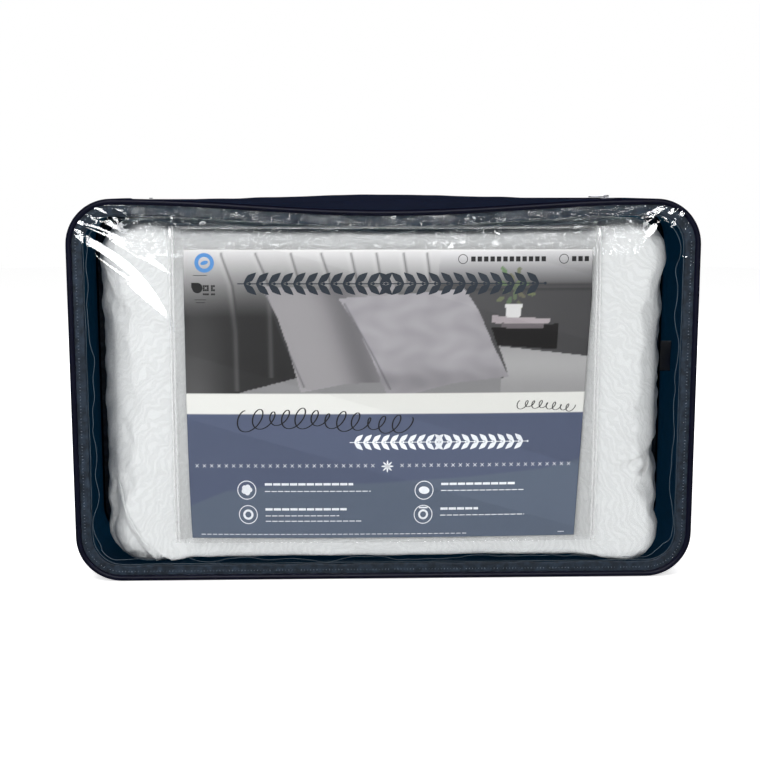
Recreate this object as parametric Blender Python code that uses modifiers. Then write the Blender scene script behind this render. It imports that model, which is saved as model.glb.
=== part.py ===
"""A down pillow packed in its zippered presentation bag, standing upright with its clear window to the front.

Metres, +Z up, the window faces -Y, +X to the right seen from the front.
The origin is the middle of the footprint, on the surface that the bag stands on.
"""

import math

import bmesh
import bpy

# Driving dimensions -----------------------------------------------------------------------------

BAG_WIDTH = 0.660  # over the piping
BAG_HEIGHT = 0.405  # over the piping, at the corners
GUSSET_DEPTH = 0.144  # between the front and the rear piping
CORNER_RADIUS = 0.048
TOP_SAG = 0.012  # how far the front top edge hangs at its middle

CLEARANCE = 0.0003  # between pieces that touch
PIPING_DIAMETER = 0.0065
FABRIC = 0.0008  # non-woven gusset and back
GUSSET_ROLL = 0.006  # the fabric dips to the pipings' seams over this width
VINYL = 0.0005
SEAM_TAPE_WIDTH = 0.013
SEAM_TAPE_THICKNESS = 0.0010
WINDOW_BULGE = 0.020  # how far the full pillow pushes the window forward of the piping's plane

POCKET_WIDTH = 0.446
POCKET_FOOT = 0.044  # height of the pocket's lower edge
POCKET_MOUTH = 0.377  # height of its open upper edge
POCKET_WELD = 0.006  # width of the welded border at the sides and the foot
POCKET_FILM = 0.0004

CARD_WIDTH = 0.420
CARD_HEIGHT = 0.303
CARD_THICKNESS = 0.0005

PILLOW_WIDTH = 0.606
PILLOW_HEIGHT = 0.379
PILLOW_CORNER = 0.060
PILLOW_SLACK = 0.0006  # between the pillow and the window or the back
TICKING = 0.0006
PILLOW_CORD_DIAMETER = 0.0044
CARE_TAG_WIDTH = 0.012
CARE_TAG_HEIGHT = 0.034
CARE_TAG_THICKNESS = 0.0005
CARE_TAG_RISE = 0.035  # of its middle above the middle of the pillow's edge

ZIP_LENGTH = 0.550  # between the ends of the gusset band
ZIP_DROP = 0.002  # from the height of the bag's corners down to the middle of the tapes
FRONT_CREST = 0.010  # how far the front strip domes up between piping and tape
REAR_CREST = 0.004
TAPE_WIDTH = 0.0132
TAPE_THICKNESS = 0.0006
COIL_WIDTH = 0.0024
COIL_HEIGHT = 0.0022
COIL_GAP = 0.0014  # the slider's neck runs in it
STOP_INSET = 0.022  # from the end of the tapes to the end stops, room for the pull
STOP_LENGTH = 0.003

SLIDER_LENGTH = 0.012
SLIDER_WIDTH = 0.010
SLIDER_PLATE = 0.0010
SLIDER_NECK = 0.0008
SLIDER_FLANGE = 0.0008
SLIDER_INSET = 0.0002  # from the plates' outline to the neck's ends and the lips
BRIDGE_OPENING = 0.0032
BRIDGE_HEADROOM = 0.0019
BRIDGE_BAR = 0.0010
BRIDGE_WIDTH = 0.0022

PULL_THICKNESS = 0.0012
PULL_WIDTH = 0.0064
PULL_LENGTH = 0.0195  # from its hinge to its tip
PULL_EYE_LENGTH = 0.0045
PULL_EYE_WIDTH = 0.0034
PULL_BAR = 0.0011

# Derived sizes ----------------------------------------------------------------------------------

HALF_WIDTH = BAG_WIDTH / 2
PIPING_RADIUS = PIPING_DIAMETER / 2
GUSSET_EDGE = GUSSET_DEPTH / 2 - CLEARANCE
SEAM_PLANE = GUSSET_DEPTH / 2 + PIPING_RADIUS  # distance of the piping's centre and the panels' edges from Y = 0
PANEL_INSET = PIPING_DIAMETER + CLEARANCE  # from the bag's outline to a panel's edge
TAPE_INSET = PANEL_INSET + SEAM_TAPE_WIDTH
SAG_HALF = HALF_WIDTH - CORNER_RADIUS
CARD_FOOT = POCKET_FOOT + POCKET_WELD + POCKET_FILM + CLEARANCE
CARD_GAP = VINYL / 2 + CLEARANCE + CARD_THICKNESS / 2  # window's middle surface to the card's
POCKET_GAP = CARD_GAP + CARD_THICKNESS / 2 + CLEARANCE + POCKET_FILM / 2
BACK_BULGE = WINDOW_BULGE + POCKET_GAP + POCKET_FILM / 2 - FABRIC / 2
PILLOW_FOOT = FABRIC + PILLOW_CORD_DIAMETER + TICKING + 2 * CLEARANCE  # its cord rests on the gusset
PILLOW_HALF_DEPTH = SEAM_PLANE + WINDOW_BULGE - VINYL / 2 - PILLOW_SLACK
ZIP_HALF = ZIP_LENGTH / 2
ZIP_LEVEL = BAG_HEIGHT - ZIP_DROP
TAPE_INNER = COIL_GAP / 2 + COIL_WIDTH + CLEARANCE
TAPE_OUTER = TAPE_INNER + TAPE_WIDTH
CHANNEL_HALF = COIL_HEIGHT / 2 + CLEARANCE  # slider's inner half height
SLIDER_TOP = ZIP_LEVEL + CHANNEL_HALF + SLIDER_PLATE
SLIDER_REST = ZIP_HALF - STOP_INSET - STOP_LENGTH - CLEARANCE - SLIDER_LENGTH / 2
PULL_AXIS = SLIDER_TOP + BRIDGE_HEADROOM / 2

# Colours (linear), roughness, metallic ----------------------------------------------------------

MATERIALS = {
    "white_cotton": ((0.80, 0.79, 0.77), 0.90, 0.0),
    "white_down": ((0.86, 0.86, 0.84), 1.00, 0.0),
    "navy_non_woven": ((0.008, 0.014, 0.040), 0.85, 0.0),
    "navy_piping": ((0.004, 0.005, 0.016), 0.25, 0.0),
    "seam_tape": ((0.030, 0.048, 0.075), 0.60, 0.0),
    "clear_vinyl": ((0.85, 0.87, 0.90), 0.08, 0.0),
    "printed_card": ((0.14, 0.17, 0.26), 0.50, 0.0),
    "zip_navy": ((0.010, 0.016, 0.045), 0.60, 0.0),
    "slider_metal": ((0.20, 0.21, 0.24), 0.35, 1.0),
}


# Scene and helpers ------------------------------------------------------------------------------


def clear_scene():
    for obj in list(bpy.data.objects):
        bpy.data.objects.remove(obj, do_unlink=True)
    for collection in list(bpy.data.collections):
        bpy.data.collections.remove(collection)


def collection_named(name):
    collection = bpy.data.collections.new(name)
    bpy.context.scene.collection.children.link(collection)
    return collection


def material_named(name):
    found = bpy.data.materials.get(name)
    if found:
        return found
    colour, roughness, metallic = MATERIALS[name]
    material = bpy.data.materials.new(name)
    material.use_nodes = True
    shader = material.node_tree.nodes["Principled BSDF"]
    shader.inputs["Base Color"].default_value = (*colour, 1)
    shader.inputs["Roughness"].default_value = roughness
    shader.inputs["Metallic"].default_value = metallic
    material.diffuse_color = (*colour, 1)
    return material


def place(name, data, material, collection):
    obj = bpy.data.objects.new(name, data)
    obj.data.materials.append(material_named(material))
    collection.objects.link(obj)
    return obj


def even(start, end, steps):
    return [start + (end - start) * i / steps for i in range(steps + 1)]


def crowded(start, end, steps):
    """Values from start to end that lie closer together near both ends."""
    middle, half = (start + end) / 2, (end - start) / 2
    return [middle - half * math.cos(math.pi * i / steps) for i in range(steps + 1)]


def solidified(obj, thickness, offset=0.0):
    modifier = obj.modifiers.new("thickness", "SOLIDIFY")
    modifier.thickness = thickness
    modifier.offset = offset
    modifier.use_even_offset = False
    return obj


def grid_mesh(name, columns, rows, point):
    """A grid with a vertex at point(column, row) for each pair of values."""
    mesh = bpy.data.meshes.new(name)
    bm = bmesh.new()
    bmesh.ops.create_grid(bm, x_segments=len(columns) - 1, y_segments=len(rows) - 1, size=0.5)
    for vertex in bm.verts:
        i = round((vertex.co.x + 0.5) * (len(columns) - 1))
        j = round((vertex.co.y + 0.5) * (len(rows) - 1))
        vertex.co = point(columns[i], rows[j])
    bm.normal_update()
    bm.to_mesh(mesh)
    bm.free()
    mesh.shade_smooth()
    return mesh


def closed_spline(curve, points):
    spline = curve.splines.new("POLY")
    spline.points.add(len(points) - 1)
    for target, point in zip(spline.points, points):
        target.co = (*point, 1)
    spline.use_cyclic_u = True


def tube_loop(name, points, radius, material, collection):
    """A closed tube along the points."""
    curve = bpy.data.curves.new(name, "CURVE")
    curve.dimensions = "3D"
    curve.bevel_depth = radius
    curve.bevel_resolution = 2
    closed_spline(curve, points)
    return place(name, curve, material, collection)


def flat_plate(name, outlines, thickness, material, collection):
    """A plate from closed 2D outlines, an inner one being a hole, lying in its local XY plane."""
    curve = bpy.data.curves.new(name, "CURVE")
    curve.dimensions = "2D"
    curve.fill_mode = "BOTH"
    curve.extrude = thickness / 2
    for outline in outlines:
        closed_spline(curve, [(x, y, 0) for x, y in outline])
    return place(name, curve, material, collection)


def box(name, size, centre, material, collection):
    mesh = bpy.data.meshes.new(name)
    bm = bmesh.new()
    bmesh.ops.create_cube(bm, size=1)
    bmesh.ops.scale(bm, vec=size, verts=bm.verts)
    bm.to_mesh(mesh)
    bm.free()
    obj = place(name, mesh, material, collection)
    obj.location = centre
    return obj


def as_mesh(obj):
    """The curve object made a mesh object of the same name, with each cap welded on as one face."""
    graph = bpy.context.evaluated_depsgraph_get()
    mesh = bpy.data.meshes.new_from_object(obj.evaluated_get(graph))
    bm = bmesh.new()
    bm.from_mesh(mesh)
    bmesh.ops.remove_doubles(bm, verts=bm.verts, dist=1e-6)
    bmesh.ops.dissolve_limit(bm, angle_limit=0.01, verts=bm.verts, edges=bm.edges)
    bm.to_mesh(mesh)
    bm.free()
    name, matrix, collection = obj.name, obj.matrix_world.copy(), obj.users_collection[0]
    bpy.data.objects.remove(obj, do_unlink=True)
    made = bpy.data.objects.new(name, mesh)
    collection.objects.link(made)
    made.matrix_world = matrix
    return made


# The bag's outline ------------------------------------------------------------------------------


def sag_at(x, z):
    """How far the front face's edge hangs at x: full at the top, fading out to nothing at half height."""
    if abs(x) >= SAG_HALF:
        return 0.0
    share = max(0.0, 2 * z / BAG_HEIGHT - 1)
    return TOP_SAG * math.cos(math.pi * x / (2 * SAG_HALF)) ** 2 * min(1.0, share) ** 2


def rounded(x, z, half_width, low, high, radius):
    """A point of a rectangle, moved inwards where the rectangle's corners are to be round."""
    middle, half_height = (low + high) / 2, (high - low) / 2
    across = abs(x) - (half_width - radius)
    up = abs(z - middle) - (half_height - radius)
    if across <= 0 or up <= 0:
        return x, z
    s, t = across / radius, up / radius
    x_out = half_width - radius + radius * s * math.sqrt(1 - t * t / 2)
    z_out = half_height - radius + radius * t * math.sqrt(1 - s * s / 2)
    return math.copysign(x_out, x), middle + math.copysign(z_out, z - middle)


def corner_arc(x, z, radius, start, steps=10):
    """Points of a quarter turn about (x, z), anticlockwise from the start angle in degrees."""
    angles = [math.radians(start + 90 * i / steps) for i in range(steps + 1)]
    return [(x + radius * math.cos(a), z + radius * math.sin(a)) for a in angles]


def rounded_outline(half_width, low, high, radius, top_steps=16):
    """Anticlockwise from the right end of the top edge; the top edge is divided so that it can sag."""
    left, right = -(half_width - radius), half_width - radius
    points = [(x, high) for x in even(right, left, top_steps)][1:-1]
    points += corner_arc(left, high - radius, radius, 90)
    points += corner_arc(left, low + radius, radius, 180)
    points += corner_arc(right, low + radius, radius, 270)
    points += corner_arc(right, high - radius, radius, 0)
    return points


def bag_outline(inset, sagging):
    """The bag's front or rear outline, moved inwards by the inset."""
    flat = rounded_outline(HALF_WIDTH - inset, inset, BAG_HEIGHT - inset, CORNER_RADIUS - inset)
    return [(x, z - sag_at(x, z) if sagging else z) for x, z in flat]


# Bulging panels ---------------------------------------------------------------------------------


def bulge_across(x):
    """Share of the window's bulge at x, 1 in the middle and 0 at the seam tape."""
    share = abs(x) / (HALF_WIDTH - TAPE_INSET)
    return (1 - share * share) ** 0.6 if share < 1 else 0.0


def bulge_up(z):
    """Share of the window's bulge at height z."""
    middle = BAG_HEIGHT / 2
    share = abs(z - middle) / (middle - TAPE_INSET)
    return (1 - share**4) ** 0.5 if share < 1 else 0.0


def window_y(x, z):
    return -SEAM_PLANE - WINDOW_BULGE * bulge_across(x) * bulge_up(z)


def panel_grid(name, sagging, depth, columns=28, rows=20):
    half, low, high = HALF_WIDTH - PANEL_INSET, PANEL_INSET, BAG_HEIGHT - PANEL_INSET

    def point(x, z):
        x, z = rounded(x, z, half, low, high, CORNER_RADIUS - PANEL_INSET)
        return x, depth(x, z), z - sag_at(x, z) if sagging else z

    return grid_mesh(name, crowded(-half, half, columns), crowded(low, high, rows), point)


def front_window(parts):
    mesh = panel_grid("front_window", True, window_y)
    solidified(place("front_window", mesh, "clear_vinyl", parts), VINYL)


def back_panel(parts):
    def depth(x, z):
        return SEAM_PLANE + BACK_BULGE * bulge_across(x) * bulge_up(z)

    mesh = panel_grid("back_panel", False, depth, 24, 16)
    solidified(place("back_panel", mesh, "navy_non_woven", parts), FABRIC)


def seam_tape(name, side, sagging, panel_thickness, parts):
    """The bound seam allowance, a flat ring on the inner side of a panel. Side is -1 in front, 1 behind."""
    rings = [bag_outline(PANEL_INSET, sagging), bag_outline(TAPE_INSET, sagging)]
    tape = flat_plate(name, rings, SEAM_TAPE_THICKNESS, "seam_tape", parts)
    tape.rotation_euler.x = math.pi / 2
    tape.location.y = side * (SEAM_PLANE - panel_thickness / 2 - CLEARANCE - SEAM_TAPE_THICKNESS / 2)


def piping(name, side, sagging, parts):
    points = [(x, side * SEAM_PLANE, z) for x, z in bag_outline(PIPING_RADIUS, sagging)]
    tube_loop(name, points, PIPING_RADIUS - CLEARANCE / 2, "navy_piping", parts)


# Gusset and zipped top --------------------------------------------------------------------------


def gusset_route(inset):
    """From the zip's left end round the left side, the bottom and the right side to the zip's right end."""
    top = BAG_HEIGHT - inset
    route = rounded_outline(HALF_WIDTH - inset, inset, top, CORNER_RADIUS - inset, top_steps=1)
    return [(-ZIP_HALF, top)] + route + [(ZIP_HALF, top)]


def gusset_band(parts):
    """One strip of fabric whose edges dip to the middle of each piping, where the seams are."""
    level, dipped = gusset_route(0), gusset_route(PIPING_RADIUS)
    rows = [-GUSSET_EDGE, GUSSET_ROLL - GUSSET_EDGE, 0, GUSSET_EDGE - GUSSET_ROLL, GUSSET_EDGE]

    def point(index, y):
        x, z = dipped[index] if abs(y) == GUSSET_EDGE else level[index]
        return x, y, z

    mesh = grid_mesh("gusset_band", range(len(level)), rows, point)
    solidified(place("gusset_band", mesh, "navy_non_woven", parts), FABRIC, offset=1)


def zip_strip(name, side, sagging, crest, parts):
    """The fabric between a piping and its zip tape. Side is -1 in front, 1 behind."""
    end = ZIP_HALF - CLEARANCE
    outer, inner = side * GUSSET_EDGE, side * (TAPE_OUTER + CLEARANCE)

    def point(x, y):
        share = (y - outer) / (inner - outer)
        ease = share * share * (3 - 2 * share)
        edge = BAG_HEIGHT - PIPING_RADIUS - (sag_at(x, BAG_HEIGHT) if sagging else 0.0)
        dome = crest * math.cos(math.pi * x / (2 * ZIP_HALF)) ** 2 * math.sin(math.pi * share)
        return x, y, edge + (ZIP_LEVEL - edge) * ease + dome

    mesh = grid_mesh(name, even(-end, end, 20), even(outer, inner, 6), point)
    solidified(place(name, mesh, "navy_non_woven", parts), FABRIC)


def zip_side(name, side, parts):
    """Tape and coil of one side of the zip."""
    length = ZIP_LENGTH - 2 * CLEARANCE
    tape_size = (length, TAPE_WIDTH, TAPE_THICKNESS)
    tape_centre = (0, side * (TAPE_INNER + TAPE_WIDTH / 2), ZIP_LEVEL)
    box(f"zip_tape_{name}", tape_size, tape_centre, "zip_navy", parts)
    coil_size = (length - 2 * STOP_INSET, COIL_WIDTH, COIL_HEIGHT)
    coil_centre = (0, side * (COIL_GAP + COIL_WIDTH) / 2, ZIP_LEVEL)
    box(f"zip_coil_{name}", coil_size, coil_centre, "zip_navy", parts)


def zip_stop(name, end, parts):
    """A bar over both coils, level with the slider's upper plate so that the pull passes over it.

    End is 1 where the zip is closed, on the right, and -1 where it is open.
    """
    size = (STOP_LENGTH, COIL_GAP + 2 * COIL_WIDTH, SLIDER_PLATE)
    x = end * (ZIP_HALF - STOP_INSET - STOP_LENGTH / 2)
    z = ZIP_LEVEL + CHANNEL_HALF + SLIDER_PLATE / 2
    box(name, size, (x, 0, z), "slider_metal", parts)


def join(body, piece):
    """Adds the piece to the body and keeps it only as a helper."""
    piece.hide_render = True
    piece.display_type = "WIRE"
    modifier = body.modifiers.new(piece.name, "BOOLEAN")
    modifier.operation = "UNION"
    modifier.object = piece


def zip_slider(parts, cutters):
    """Two plates with a neck between them, lips round the coils, and the bridge that holds the pull."""
    plate_size = (SLIDER_LENGTH, SLIDER_WIDTH, SLIDER_PLATE)
    plate_level = CHANNEL_HALF + SLIDER_PLATE / 2
    body = box("zip_slider", plate_size, (SLIDER_REST, 0, ZIP_LEVEL + plate_level), "slider_metal", parts)
    under_centre = (SLIDER_REST, 0, ZIP_LEVEL - plate_level)
    join(body, box("slider_under_plate", plate_size, under_centre, "slider_metal", cutters))

    inner_length = SLIDER_LENGTH - 2 * SLIDER_INSET
    neck_size = (inner_length, SLIDER_NECK, 2 * plate_level)
    join(body, box("slider_neck", neck_size, (SLIDER_REST, 0, ZIP_LEVEL), "slider_metal", cutters))
    slot = TAPE_THICKNESS / 2 + CLEARANCE
    lip_size = (inner_length, SLIDER_FLANGE, plate_level - slot)
    for across in (-1, 1):
        for up in (-1, 1):
            y = across * (SLIDER_WIDTH / 2 - SLIDER_INSET - SLIDER_FLANGE / 2)
            z = ZIP_LEVEL + up * (plate_level + slot) / 2
            name = f"slider_lip_{across}_{up}"
            join(body, box(name, lip_size, (SLIDER_REST, y, z), "slider_metal", cutters))

    foot = SLIDER_PLATE / 2  # how deep the bridge's posts stand in the plate
    inner, outer = BRIDGE_OPENING / 2, BRIDGE_OPENING / 2 + BRIDGE_BAR
    head, top = BRIDGE_HEADROOM, BRIDGE_HEADROOM + BRIDGE_BAR
    arch = [(outer, -foot), (outer, top), (-outer, top), (-outer, -foot)]
    arch += [(-inner, -foot), (-inner, head), (inner, head), (inner, -foot)]
    bridge = flat_plate("slider_bridge", [arch], BRIDGE_WIDTH, "slider_metal", cutters)
    bridge.rotation_euler.x = math.pi / 2
    bridge.location = (SLIDER_REST, 0, SLIDER_TOP)
    bpy.context.view_layer.update()
    join(body, as_mesh(bridge))


def zip_pull(parts):
    """A flat tab that lies towards the open end, its eye's end bar through the slider's bridge."""
    bar, half, eye = PULL_BAR / 2, PULL_WIDTH / 2, PULL_EYE_WIDTH / 2
    tip = -PULL_LENGTH + half
    round_end = [(tip + half * math.cos(a), half * math.sin(a)) for a in
                 (math.radians(90 + 180 * i / 8) for i in range(9))]
    outer = [(bar, -half), (bar, half)] + round_end
    inner_end = -bar - PULL_EYE_LENGTH
    hole = [(-bar, -eye), (inner_end, -eye), (inner_end, eye), (-bar, eye)]
    pull = flat_plate("zip_pull", [outer, hole], PULL_THICKNESS, "slider_metal", parts)
    pull.location = (SLIDER_REST, 0, PULL_AXIS)


# Card and pocket --------------------------------------------------------------------------------


def straight_y(x, gap):
    """Front surface that follows the window's crown across but runs straight up, so that the card can slide."""
    return -SEAM_PLANE - WINDOW_BULGE * bulge_across(x) - gap


def insert_card(parts):
    half = CARD_WIDTH / 2

    def point(x, z):
        return x, straight_y(x, CARD_GAP), z

    rows = [CARD_FOOT, CARD_FOOT + CARD_HEIGHT]
    mesh = grid_mesh("insert_card", even(-half, half, 20), rows, point)
    solidified(place("insert_card", mesh, "printed_card", parts), CARD_THICKNESS)


def card_pocket(parts):
    """A sheet in front of the card, stepped back to the window at its sides and foot, open at its mouth."""
    half = POCKET_WIDTH / 2
    wall = half - POCKET_WELD
    shelf = POCKET_FOOT + POCKET_WELD
    columns = [-half] + even(-wall, wall, 20) + [half]
    rows = [POCKET_FOOT] + even(shelf, POCKET_MOUTH, 12)

    def point(x, z):
        if abs(x) < half and z > POCKET_FOOT:
            return x, straight_y(x, POCKET_GAP), z
        return x, window_y(x, z) - VINYL / 2 - 2 * CLEARANCE - POCKET_FILM / 2, z

    mesh = grid_mesh("card_pocket", columns, rows, point)
    solidified(place("card_pocket", mesh, "clear_vinyl", parts), POCKET_FILM)


# Pillow -----------------------------------------------------------------------------------------


def pillow_thickness(x, z, half_width, middle, half_height):
    """Share of the pillow's half depth at a point: flat over the middle and round towards its edges."""
    across = min(1.0, abs(x) / half_width)
    up = min(1.0, abs(z - middle) / half_height)
    return (1 - across**3.5) ** 0.5 * (1 - up**3.5) ** 0.5


def pillow_half(name, shrink, edge_depth, columns=20, rows=14):
    """The front half of the pillow's surface, smaller all round by shrink, its edge at Y = -edge_depth."""
    half = PILLOW_WIDTH / 2 - shrink
    low, high = PILLOW_FOOT + shrink, PILLOW_FOOT + PILLOW_HEIGHT - shrink
    middle, half_height = (low + high) / 2, (high - low) / 2
    deep = PILLOW_HALF_DEPTH - shrink - edge_depth

    def point(x, z):
        depth = edge_depth + deep * pillow_thickness(x, z, half, middle, half_height)
        x, z = rounded(x, z, half, low, high, PILLOW_CORNER - shrink)
        return x, -depth, z

    return grid_mesh(name, crowded(-half, half, columns), crowded(low, high, rows), point)


def down_fill(parts):
    mesh = pillow_half("down_fill", 3 * TICKING, 0.0)
    fill = place("down_fill", mesh, "white_down", parts)
    mirror = fill.modifiers.new("back", "MIRROR")
    mirror.use_axis = (False, True, False)
    mirror.merge_threshold = 0.0001


def ticking(name, side, parts):
    """One half of the cotton cover. Side is -1 in front, 1 behind."""
    mesh = pillow_half(name, TICKING / 2, TICKING)
    cover = place(name, mesh, "white_cotton", parts)
    if side > 0:
        cover.rotation_euler.z = math.pi
    solidified(cover, TICKING)


def pillow_cord(parts):
    """The corded edge that is sewn between the two halves of the cover."""
    out = PILLOW_CORD_DIAMETER / 2 + TICKING + CLEARANCE
    low, high = PILLOW_FOOT - out, PILLOW_FOOT + PILLOW_HEIGHT + out
    outline = rounded_outline(PILLOW_WIDTH / 2 + out, low, high, PILLOW_CORNER + out, top_steps=4)
    points = [(x, 0, z) for x, z in outline]
    tube_loop("pillow_cord", points, PILLOW_CORD_DIAMETER / 2, "white_cotton", parts)


def care_tag(parts):
    """The sewn-in label at the right edge, beside the cord."""
    edge = PILLOW_WIDTH / 2 + TICKING + PILLOW_CORD_DIAMETER + 2 * CLEARANCE
    size = (CARE_TAG_WIDTH, CARE_TAG_THICKNESS, CARE_TAG_HEIGHT)
    level = PILLOW_FOOT + PILLOW_HEIGHT / 2 + CARE_TAG_RISE
    box("care_tag", size, (edge + CARE_TAG_WIDTH / 2, 0, level), "white_cotton", parts)


def main():
    clear_scene()
    parts = collection_named("packed_down_pillow")
    cutters = collection_named("helpers")
    down_fill(parts)
    ticking("ticking_front", -1, parts)
    ticking("ticking_back", 1, parts)
    pillow_cord(parts)
    care_tag(parts)
    front_window(parts)
    card_pocket(parts)
    insert_card(parts)
    back_panel(parts)
    seam_tape("front_seam_tape", -1, True, VINYL, parts)
    seam_tape("back_seam_tape", 1, False, FABRIC, parts)
    piping("front_piping", -1, True, parts)
    piping("back_piping", 1, False, parts)
    gusset_band(parts)
    zip_strip("front_zip_strip", -1, True, FRONT_CREST, parts)
    zip_strip("rear_zip_strip", 1, False, REAR_CREST, parts)
    zip_side("front", -1, parts)
    zip_side("rear", 1, parts)
    zip_stop("zip_stop_closed", 1, parts)
    zip_stop("zip_stop_open", -1, parts)
    zip_slider(parts, cutters)
    zip_pull(parts)


main()
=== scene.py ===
"""The looks of a white down pillow in its zipped presentation bag, built around the frame.

Metres, +Z up. The clear window faces -Y, and the bag stands on the floor at Z = 0.
"""

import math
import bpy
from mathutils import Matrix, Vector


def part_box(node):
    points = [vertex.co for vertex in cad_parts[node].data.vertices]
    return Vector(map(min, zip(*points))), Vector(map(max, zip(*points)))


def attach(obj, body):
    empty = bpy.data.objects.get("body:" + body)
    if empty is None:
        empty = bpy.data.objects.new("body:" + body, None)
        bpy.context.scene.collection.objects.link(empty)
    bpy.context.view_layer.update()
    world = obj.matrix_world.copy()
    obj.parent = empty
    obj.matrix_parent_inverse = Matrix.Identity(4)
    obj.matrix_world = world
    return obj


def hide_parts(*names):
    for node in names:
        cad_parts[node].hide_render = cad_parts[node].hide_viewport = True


bl_info = {
    "name": "Packed Down Pillow",
    "version": (1, 0, 0),
    "blender": (4, 5, 0),
    "location": "3D View > Sidebar > Packed Pillow",
    "description": "Builds a corded down pillow in a clear-fronted zipped bag with a printed insert",
    "category": "Object",
}

import bmesh
import bpy
import numpy as np
from bpy.props import FloatProperty, FloatVectorProperty, IntProperty, PointerProperty
from mathutils import Matrix, Vector, noise

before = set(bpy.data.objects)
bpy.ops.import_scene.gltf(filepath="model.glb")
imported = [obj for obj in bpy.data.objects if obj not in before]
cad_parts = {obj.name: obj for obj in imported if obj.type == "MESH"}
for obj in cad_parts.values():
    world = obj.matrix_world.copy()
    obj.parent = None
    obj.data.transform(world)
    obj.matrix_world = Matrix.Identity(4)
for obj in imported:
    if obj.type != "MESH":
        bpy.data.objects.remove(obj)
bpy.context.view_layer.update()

# Measures of the frame --------------------------------------------------------------------------

BAG_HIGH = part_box("gusset_band")[1]
SHOULDER_DROP = 0.0065  # of the bag's rear upper left shoulder
PILLOW_SHRINK = 0.0045  # of the cover before it is filled
PILLOW_SHIFT = 0.0022  # to the right, as the pillow was packed
EDGE_CORD_RADIUS = 0.0021
TUCK_CORD_RADIUS = 0.0013
PICTURE_FOOT = 153.5  # in millimetres up the card
TEXT_PANEL_TOP = 132.5
HALF_WIDTH = BAG_HIGH.x
BAG_HEIGHT = BAG_HIGH.z
MIDDLE = BAG_HEIGHT / 2
GUSSET_EDGE = BAG_HIGH.y
PIPING_LOW, PIPING_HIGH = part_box("front_piping")
SEAM_PLANE = -(PIPING_LOW.y + PIPING_HIGH.y) / 2
PIPING_RADIUS = (PIPING_HIGH.y - PIPING_LOW.y) / 2
CLEARANCE = 0.0003
CORNER_RADIUS = 0.048
TOP_SAG = 0.012
SAG_HALF = HALF_WIDTH - CORNER_RADIUS
PANEL_INSET = 2 * PIPING_RADIUS + 2 * CLEARANCE
PANEL_EDGE = 1.3 * PIPING_RADIUS  # the cloth and the film run on into the piping, which grips them
BAND_WIDTH = 0.013
BAND_SHOWN = 0.0100
BAND_INSET = PANEL_INSET + BAND_WIDTH
FILM = 0.0005
CLOTH = 0.0008
WINDOW_BULGE = 0.020
BACK_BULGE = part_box("back_panel")[1].y - SEAM_PLANE - CLOTH / 2
CARD_LOW, CARD_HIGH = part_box("insert_card")
CARD_WIDTH = CARD_HIGH.x - CARD_LOW.x
CARD_HEIGHT = CARD_HIGH.z - CARD_LOW.z
CARD_THICKNESS = 0.0005
CARD_GAP = FILM / 2 + CLEARANCE + CARD_THICKNESS / 2
POCKET_LOW, POCKET_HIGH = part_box("card_pocket")
POCKET_GAP = CARD_GAP + CARD_THICKNESS / 2 + CLEARANCE + 0.0002
TICKING_LOW, TICKING_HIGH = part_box("ticking_front")
PILLOW_HALF = TICKING_HIGH.x
PILLOW_MIDDLE = (TICKING_LOW.z + TICKING_HIGH.z) / 2
PILLOW_RISE = (TICKING_HIGH.z - TICKING_LOW.z) / 2
PILLOW_CORNER = 0.052
SWELL = 0.0035  # how far the filled cover may stand past its cut size at the sides
ZIP_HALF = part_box("zip_tape_front")[1].x
ZIP_LEVEL = (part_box("zip_tape_front")[0].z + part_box("zip_tape_front")[1].z) / 2
TAPE_OUTER = -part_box("zip_tape_front")[0].y
TAPE_INNER = -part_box("zip_tape_front")[1].y
COIL_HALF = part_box("zip_coil_front")[1].x
LOOK_AT = Vector((0, -SEAM_PLANE - 0.00325, MIDDLE))
CAMERA_RISE, CAMERA_ASIDE, CAMERA_DISTANCE = math.radians(8.7), math.radians(-1.85), 1.4
MIRROR_BOX = (-0.03, -2.40, 1.52)  # the long light that the film's folds mirror


# What a user would change -----------------------------------------------------------------------


def to_linear(hex_colour):
    """The linear colour of an sRGB hex value."""
    values = [int(hex_colour[i : i + 2], 16) / 255 for i in (0, 2, 4)]
    return tuple(v / 12.92 if v <= 0.04045 else ((v + 0.055) / 1.055) ** 2.4 for v in values)


def colour(name, description, hex_colour):
    return FloatVectorProperty(
        name=name, description=description, subtype="COLOR", size=3, min=0, max=1,
        default=to_linear(hex_colour),
    )


def length(name, description, metres):
    return FloatProperty(
        name=name, description=description, subtype="DISTANCE", unit="LENGTH", precision=4,
        default=metres, min=0,
    )


class PackedPillowSizes(bpy.types.PropertyGroup):
    fill_pressure: FloatProperty(
        name="Fill Pressure", description="How hard the down pushes the cover out",
        default=4.0, min=0, max=20,
    )
    fill_steps: IntProperty(
        name="Fill Steps", description="Frames of cloth simulation", default=20, min=1, max=60
    )
    remesh: length("Remesh", "Cell size of the pillow's cover before it is filled", 0.0062)
    swell_cap: length("Swell Cap", "How far a point of the cover may move as it fills", 0.010)
    fold_height: FloatProperty(
        name="Fold Height", description="Height of the window's folds, as a share of the usual",
        default=1.0, min=0, max=2,
    )
    stitch_pitch: length("Stitch Pitch", "From one stitch to the next in the seam band", 0.0034)
    tooth_pitch: length("Tooth Pitch", "From one coil turn to the next on the same side", 0.0016)
    cross_pitch: length("Cross Pitch", "From one printed cross to the next", 0.00783)


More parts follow.
